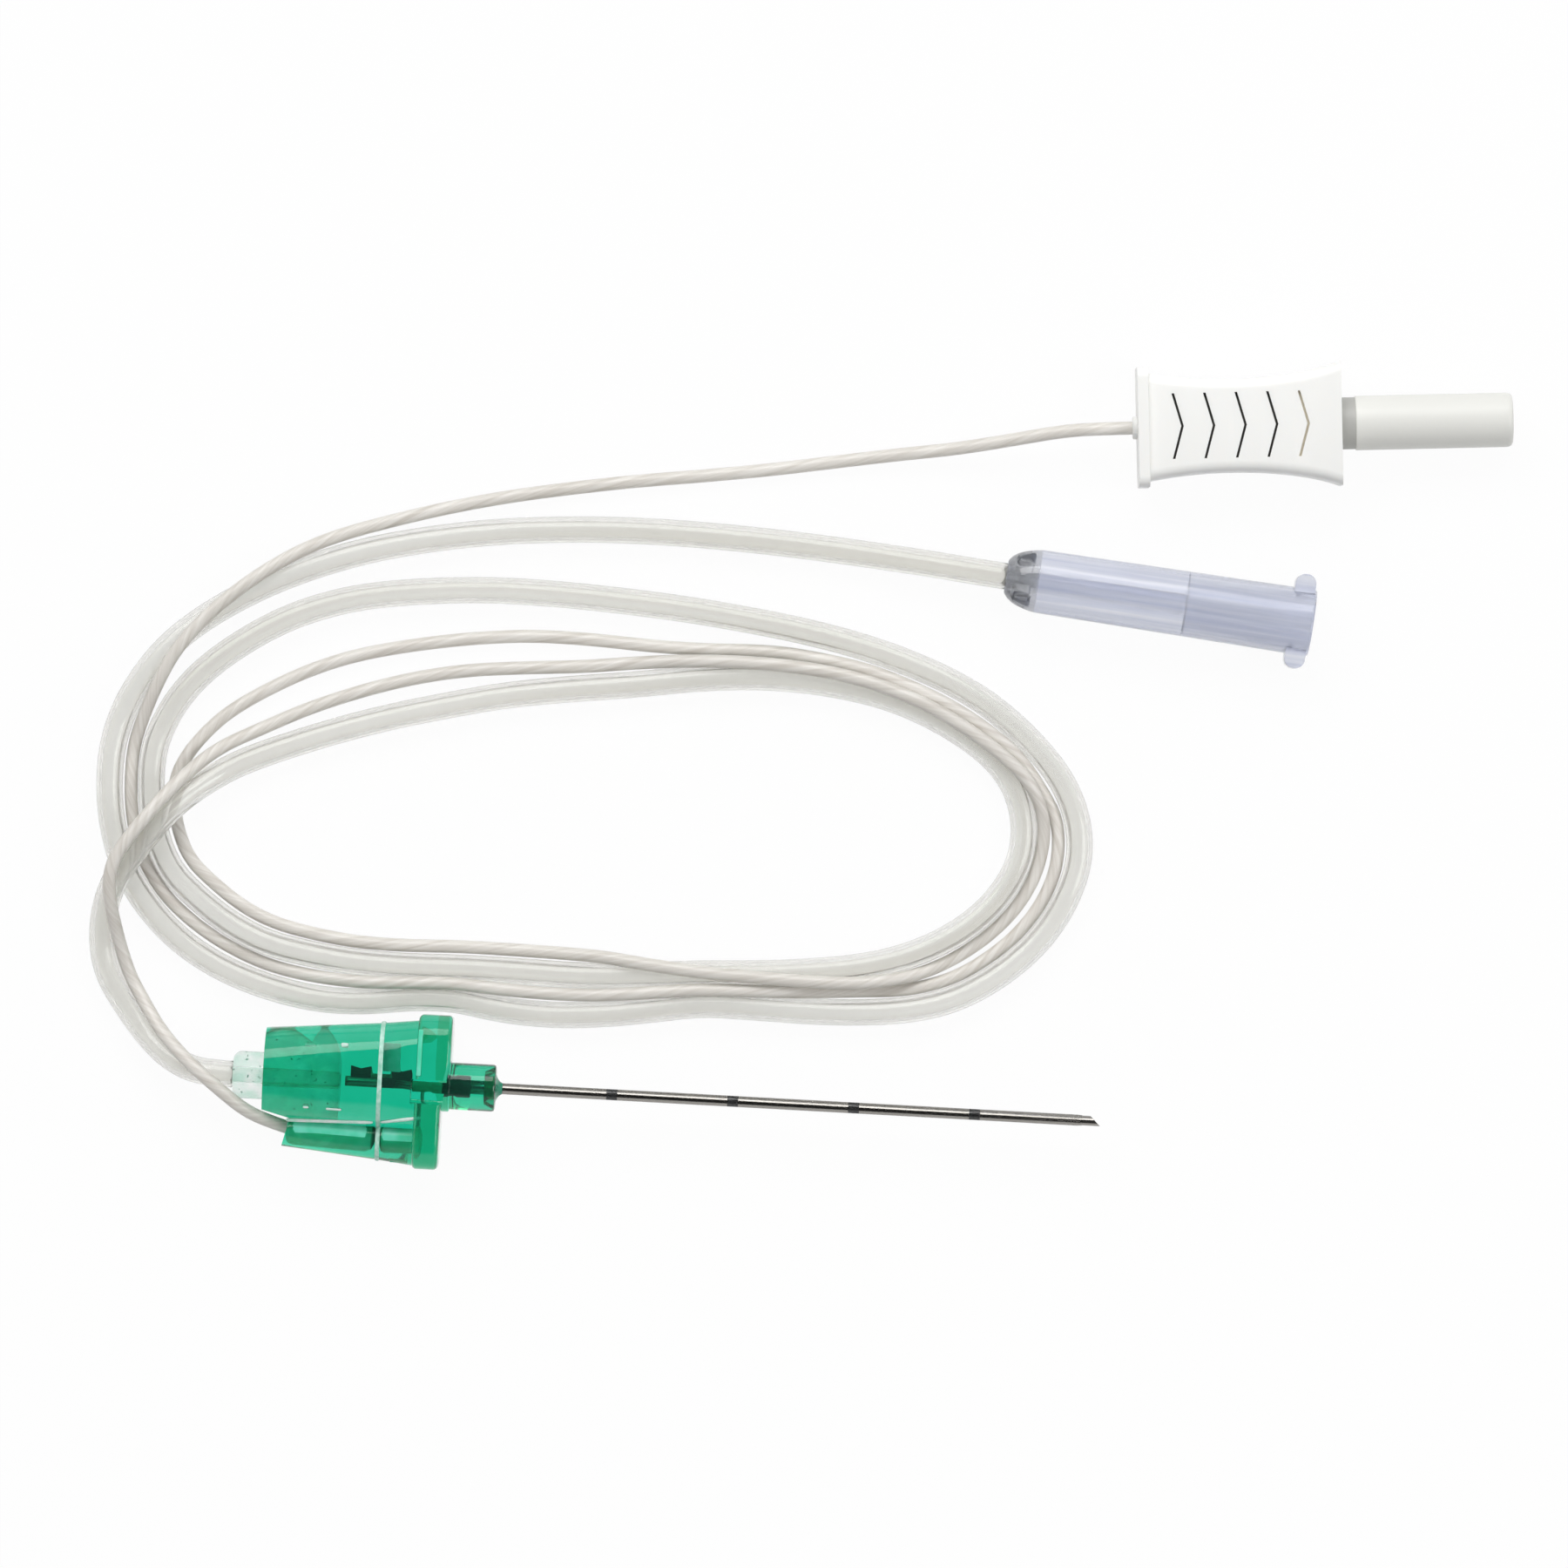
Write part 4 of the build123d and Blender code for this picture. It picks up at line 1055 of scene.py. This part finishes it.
# Plug contact: a turned brass socket for a 2 mm pin. Its tail is pressed into the grip, and the
# lead's wire is crimped into the tail.
PLUG_START = (61.25, 57.35, 3.0)
PLUG_HEADING = (2.6, 0.2, 0)
GRIP_END = 17.2
PLUG_END = 31.4

contact = turned_piece("pin_contact", [
    (12.0, 0.2), (12.0, 0.8), (12.1, 0.9), (17.2, 0.9), (17.2, 1.4), (30.85, 1.4), (31.0, 1.27),
    (31.0, 1.12), (30.88, 1.0), (20.5, 1.0), (20.2, 0.0), (14.5, 0.0), (14.5, 0.2),
], 64)
place_piece(contact, PLUG_START, PLUG_HEADING)
round_edges(contact, 0)

# Turned brass with a thin gold flash: warm and bright, with the fine rings of the lathe.
LATHE_RING = 0.12

gilt = finish_of("turned_gilt_brass", "cdb067", 0.2, Metallic=1.0)
turned_place = turned_to(gilt, PLUG_HEADING)
rings = add_node(
    gilt, "ShaderNodeTexWave", bands_direction="X", links={"Vector": turned_place},
    values={"Scale": 1 / (LATHE_RING * MM * math.tau), "Distortion": 0.3}
)
add_node(
    gilt, "ShaderNodeBump", values={"Strength": 0.3, "Distance": 0.01 * MM},
    links={"Height": rings.outputs["Fac"]}, into="Normal"
)
wear(contact, gilt)
stands_for(contact, "plug_contact")


# Plug grip: a waisted white block that flares at both ends, with arrow grooves across both
# faces. It is moulded over the contact's tail and the end of the lead.
GRIP_THICKNESS = 5.2
GRIP_HALF_WIDTH = 4.5
GRIP_BODY_X = 1.0
WAIST_STEPS = 24
WAIST_DEPTH = 3.4
GRIP_TAPER = 0.4
LIP_FLARE = 0.25
LIP_RISE = 0.15
LIP_POWER = 10
GROOVE_DEPTH = 0.5
GROOVE_WIDTH = 0.2
GROOVE_LEAN = 0.75
GROOVE_REACH = 2.7
GROOVE_START = 3.2
GROOVE_SPACING = 2.6

grip = block(
    "plug_grip_body", (GRIP_BODY_X, -GRIP_HALF_WIDTH, -GRIP_THICKNESS / 2),
    (GRIP_END, GRIP_HALF_WIDTH, GRIP_THICKNESS / 2)
)
shares = [step / WAIST_STEPS for step in range(WAIST_STEPS + 1)]
divide_at([GRIP_BODY_X + (GRIP_END - GRIP_BODY_X) * share for share in shares[1:-1]])
for share in shares:
    x = GRIP_BODY_X + (GRIP_END - GRIP_BODY_X) * share
    half = GRIP_HALF_WIDTH + GRIP_TAPER * share - WAIST_DEPTH * share * (1 - share) + (
        LIP_FLARE * share ** LIP_POWER
    )
    pick(grip, "VERT", lambda v: abs(v.co.x / MM - x) < 0.01)
    bpy.ops.transform.resize(
        value=(1, half / GRIP_HALF_WIDTH, 1 + LIP_RISE * share ** LIP_POWER),
        center_override=(0, 0, 0)
    )
bevel_edges(grip, 0.9, 6, lambda e: (
    runs_along(e, 0, least=0.5) and e.calc_face_angle(0) > math.radians(50)
))
bpy.ops.object.mode_set(mode="OBJECT")
flange = block("flange", (0.4, -4.95, -3.0), (1.3, 4.95, 3.0))
bevel_edges(flange, 0.9, 6, lambda e: runs_along(e, 0, least=0.5))
combine(grip, flange, "UNION")
nub = turned_piece("lead_nub", [(0, 0), (0, 0.85), (0.1, 0.95), (1.0, 0.95), (1.0, 0)], 40)
combine(grip, nub, "UNION")

# White ABS, moulded in a spark-eroded mould: half matt, with a fine even grain. The real grain
# is about 0.05 mm, and it is drawn a little coarser here.
MOULD_GRAIN = 0.12

white = finish_of("moulded_white_abs", "fcfcf9", 0.38, IOR=1.5, **{
    "Subsurface Weight": 0.15, "Subsurface Radius": (1, 0.9, 0.8), "Subsurface Scale": 0.6 * MM
})
grain = faint_ripple(white, MOULD_GRAIN, 0.012, strength=0.35)
add_node(
    white, "ShaderNodeMapRange", values={"To Min": 0.3, "To Max": 0.46}, links={"Value": grain},
    into="Roughness"
)
wear(grip, white)

# The floor of each groove is dull. In the first four it is painted dark grey, a painted shade for
# the shade that falls in these narrow grooves, and the last groove is filled beige.
groove_shade_paint = finish_of("painted_groove_shade", "5d5c58", 0.7)
faint_ripple(groove_shade_paint, 0.6, 0.02)
filled = finish_of("beige_filled_groove", "f6f1e4", 0.6)
faint_ripple(filled, 0.6, 0.02)
for number, floor in enumerate((groove_shade_paint, groove_shade_paint, groove_shade_paint, groove_shade_paint, filled)):
    start = GROOVE_START + GROOVE_SPACING * number
    for low in (GRIP_THICKNESS / 2 - GROOVE_DEPTH, -GRIP_THICKNESS / 2 - 1):
        arrow = block(
            "arrow", (start, -GROOVE_REACH, low),
            (start + GROOVE_WIDTH, GROOVE_REACH, low + 1 + GROOVE_DEPTH)
        )
        divide_at([0], across=(0, 1, 0))
        pick(arrow, "VERT", lambda v: abs(v.co.y / MM) < 0.01)
        bpy.ops.transform.translate(value=(GROOVE_LEAN * MM, 0, 0))
        bpy.ops.object.mode_set(mode="OBJECT")
        wear(arrow, floor)
        combine(grip, arrow, "DIFFERENCE")
place_piece(grip, PLUG_START, PLUG_HEADING)
round_edges(grip, 0.06, steps=1)
stands_for(grip, "plug_grip")


# Plug sleeve: a round white sleeve over the contact, so that no live metal can be touched. Its
# front lip stands past the contact's end. Its white is painted darker than the grip's, a painted
# shade for the round sleeve, and its first 1.2 mm, at the neck, is grey.
COLLAR_END = 18.39

sleeve = turned_piece("plug_sleeve_round", [
    (GRIP_END, 1.42), (GRIP_END, 2.15), (18.4, 2.15), (18.4, 2.19), (18.46, 2.25), (30.9, 2.25),
    (31.1, 2.22), (31.28, 2.12), (31.38, 1.98), (PLUG_END, 1.85), (PLUG_END, 1.35), (31.3, 1.25),
    (31.0, 1.25), (31.0, 1.42),
], 96)
# A darker copy of the grip's white: painted shade on the round sleeve.
shaded_white = finish_of("painted_shade_white_abs", "e8e8e3", 0.42, IOR=1.5)
faint_ripple(shaded_white, 0.8, 0.02)
wear(sleeve, shaded_white)
# The first 1.2 mm of the sleeve, at the neck next to the grip, is grey.
grey = finish_of("grey_collar_ring", "b4b4b0", 0.45)
faint_ripple(grey, 0.8, 0.02)
sleeve.data.materials.append(grey)
bpy.ops.object.mode_set(mode="EDIT")
pick(sleeve, "FACE", lambda f: f.calc_center_median().x / MM < COLLAR_END)
sleeve.active_material_index = 1
bpy.ops.object.material_slot_assign()
place_piece(sleeve, PLUG_START, PLUG_HEADING)
round_edges(sleeve, 0)
stands_for(sleeve, "plug_sleeve")


# Stimulation lead: a stranded wire in a soft sheath, 1.1 mm across, glued into the hub's boss.
# It lies on and beside the tube through the same loops and ends in the plug.
LEAD_LENGTH = 0.4783
LEAD_DIAMETER = 0.0011
LEAD_ROUTE = [(x * MM, y * MM, z * MM) for x, y, z in (
    (-5.3, -4.15, 3.8), (-7.15, -3.65, 3.8), (-8.95, -2.85, 4.55), (-10.75, -1.5, 5.25),
    (-12.75, 0.05, 5.5), (-14.6, 1.65, 4.7), (-16.3, 3.4, 3.4), (-17.65, 5.35, 2.35),
    (-19.05, 7.55, 1.75), (-19.9, 9.8, 2.3), (-20.45, 11.75, 3.4), (-20.9, 13.6, 4.5),
    (-21.1, 15.45, 5.15), (-20.75, 17.25, 5.3), (-19.65, 19.05, 5.25), (-18.2, 21.05, 5),
    (-16.45, 23.25, 4.35), (-14.7, 25.15, 3), (-12.55, 27, 1.35), *level(0.55, (-9.25, 28.7),
    (-5.75, 30.45), (-1.85, 32), (2.4, 33.35), (7, 34.35), (12.05, 34.85), (17.05, 35.2)),
    (21.7, 35.8, 1.25), (26.35, 36.2, 2.2), (30.85, 36.3, 2.5), (35.4, 36.1, 2.5),
    (39.35, 35.55, 2.7), (42.6, 34.7, 2.8), (45.95, 33.45, 2.85), (49.1, 31.75, 2.85),
    (52.1, 29.75, 2.85), (54.65, 27.5, 2.5), (55.95, 24.35, 1.25), (55.6, 20.55, 0.55),
    (54.05, 17.3, 0.55), (51.6, 14.6, 0.55), (48.7, 12.5, 0.55), (45.95, 11.2, 1.05),
    (43.25, 10.55, 2.15), (40.25, 10.2, 2.5), (36.8, 10.2, 2.75), (32.1, 10.3, 2.85),
    (27.75, 10.5, 2.85), (23.4, 10.9, 2.7), (20, 11.3, 1.75), (16.55, 11.4, 0.7),
    *level(0.55, (12.6, 11.45), (8.25, 11.5), (3.25, 11.3), (-0.75, 11.4), (-4.6, 11.95),
    (-7.8, 12.7), (-10.45, 14), (-13, 15.9), (-14.75, 17.5), (-15.8, 19.7), (-16.3, 22.05),
    (-16.3, 24.15), (-15.5, 26.05), (-14.1, 27.95), (-12.2, 29.85), (-9.4, 31.7), (-5.9, 33.6),
    (-2.05, 35.1), (2.6, 36.2), (7.6, 37.05), (12.6, 37.55), (17.65, 37.5), (22.7, 37.2),
    (27.05, 37.15), (30.65, 37.3)), (33.85, 37.25, 0.65), (37.3, 36.8, 1.1), (40.65, 36.2, 1.85),
    (44.1, 35.05, 2), (47.3, 33.75, 2.05), (50.5, 31.95, 2.05), (53.35, 29.8, 1.85),
    (55.4, 27.15, 0.8), *level(0.55, (57, 24.55), (57.15, 21), (56.1, 17.85), (54.15, 15),
    (51.5, 12.65), (48.65, 10.9), (45.1, 9.85)), (41.15, 9.6, 0.75), (36.85, 9.3, 1.8),
    (32.55, 9.15, 2.2), (28.2, 9.05, 2.35), (23.9, 8.55, 2.1), (19.6, 8.05, 1.65),
    (14.95, 8, 1.8), (10.95, 8.2, 2.15), (7.7, 8.45, 2.35), (4.1, 8.3, 2.35), (0.5, 8.1, 1.95),
    (-3.45, 8.3, 1.25), *level(0.6, (-7.65, 9), (-11.45, 10.55), (-14.8, 12.7), (-17.2, 15),
    (-18.9, 17.85), (-19.75, 20.9), (-20, 24.15), (-19.85, 26.9)), (-19.05, 29.45, 1.6),
    (-18.15, 31.8, 2.4), (-16.85, 34.55, 2.85), (-14.9, 37.1, 2.85), (-12.7, 39.3, 2.8),
    (-9.95, 41.55, 2.6), (-6.8, 43.6, 1.9), (-3.65, 45.05, 0.9), *level(0.55, (0.25, 46.35),
    (4.85, 47.7), (9.8, 48.9), (14.8, 49.85), (20.5, 50.8), (26.25, 51.55), (31.95, 52.4)),
    (37.3, 53.35, 0.6), (42.3, 54.2, 0.9), (46.95, 54.9, 1.5), (51.4, 55.85, 2.3),
    (55.6, 56.8, 3), (58.65, 57.15, 3), (61.25, 57.35, 3),
)]

lead, lead_points = swept_wall("lead_sheath", LEAD_ROUTE, LEAD_DIAMETER, 16)

# Soft PVC sheath, extruded over the strands: warm off-white and half clear, so that the twisted
# wire shows through it as fine slanting streaks.
STRAND_PITCH = 10.0
STREAKS_ROUND = 9.0

sheath = finish_of("soft_warm_white_pvc", "f4efe8", 0.3, transmission=0.2, IOR=1.5)
apart = add_node(sheath, "ShaderNodeSeparateXYZ", links={0: "UV"})
turns = add_node(
    sheath, "ShaderNodeMath", operation="MULTIPLY",
    values={1: LEAD_LENGTH / (STRAND_PITCH * MM)}, links={0: apart.outputs["X"]}
)
twisted = add_node(
    sheath, "ShaderNodeMath", operation="ADD", links={0: turns, 1: apart.outputs["Y"]}
)
slanted = add_node(
    sheath, "ShaderNodeMath", operation="MULTIPLY", values={1: STREAKS_ROUND}, links={0: twisted}
)
streak_place = add_node(sheath, "ShaderNodeCombineXYZ", links={"X": slanted, "Y": turns})
streaks = add_node(
    sheath, "ShaderNodeTexNoise", values={"Scale": 1.0, "Detail": 3.0, "Roughness": 0.6},
    links={"Vector": streak_place}
)
two_shades(sheath, streaks, "dfd9d0", "fffcf6")
add_node(
    sheath, "ShaderNodeBump", values={"Strength": 0.4, "Distance": 0.02 * MM},
    links={"Height": streaks}, into="Normal"
)
wear(lead, sheath)
stands_for(lead, "stimulation_lead")
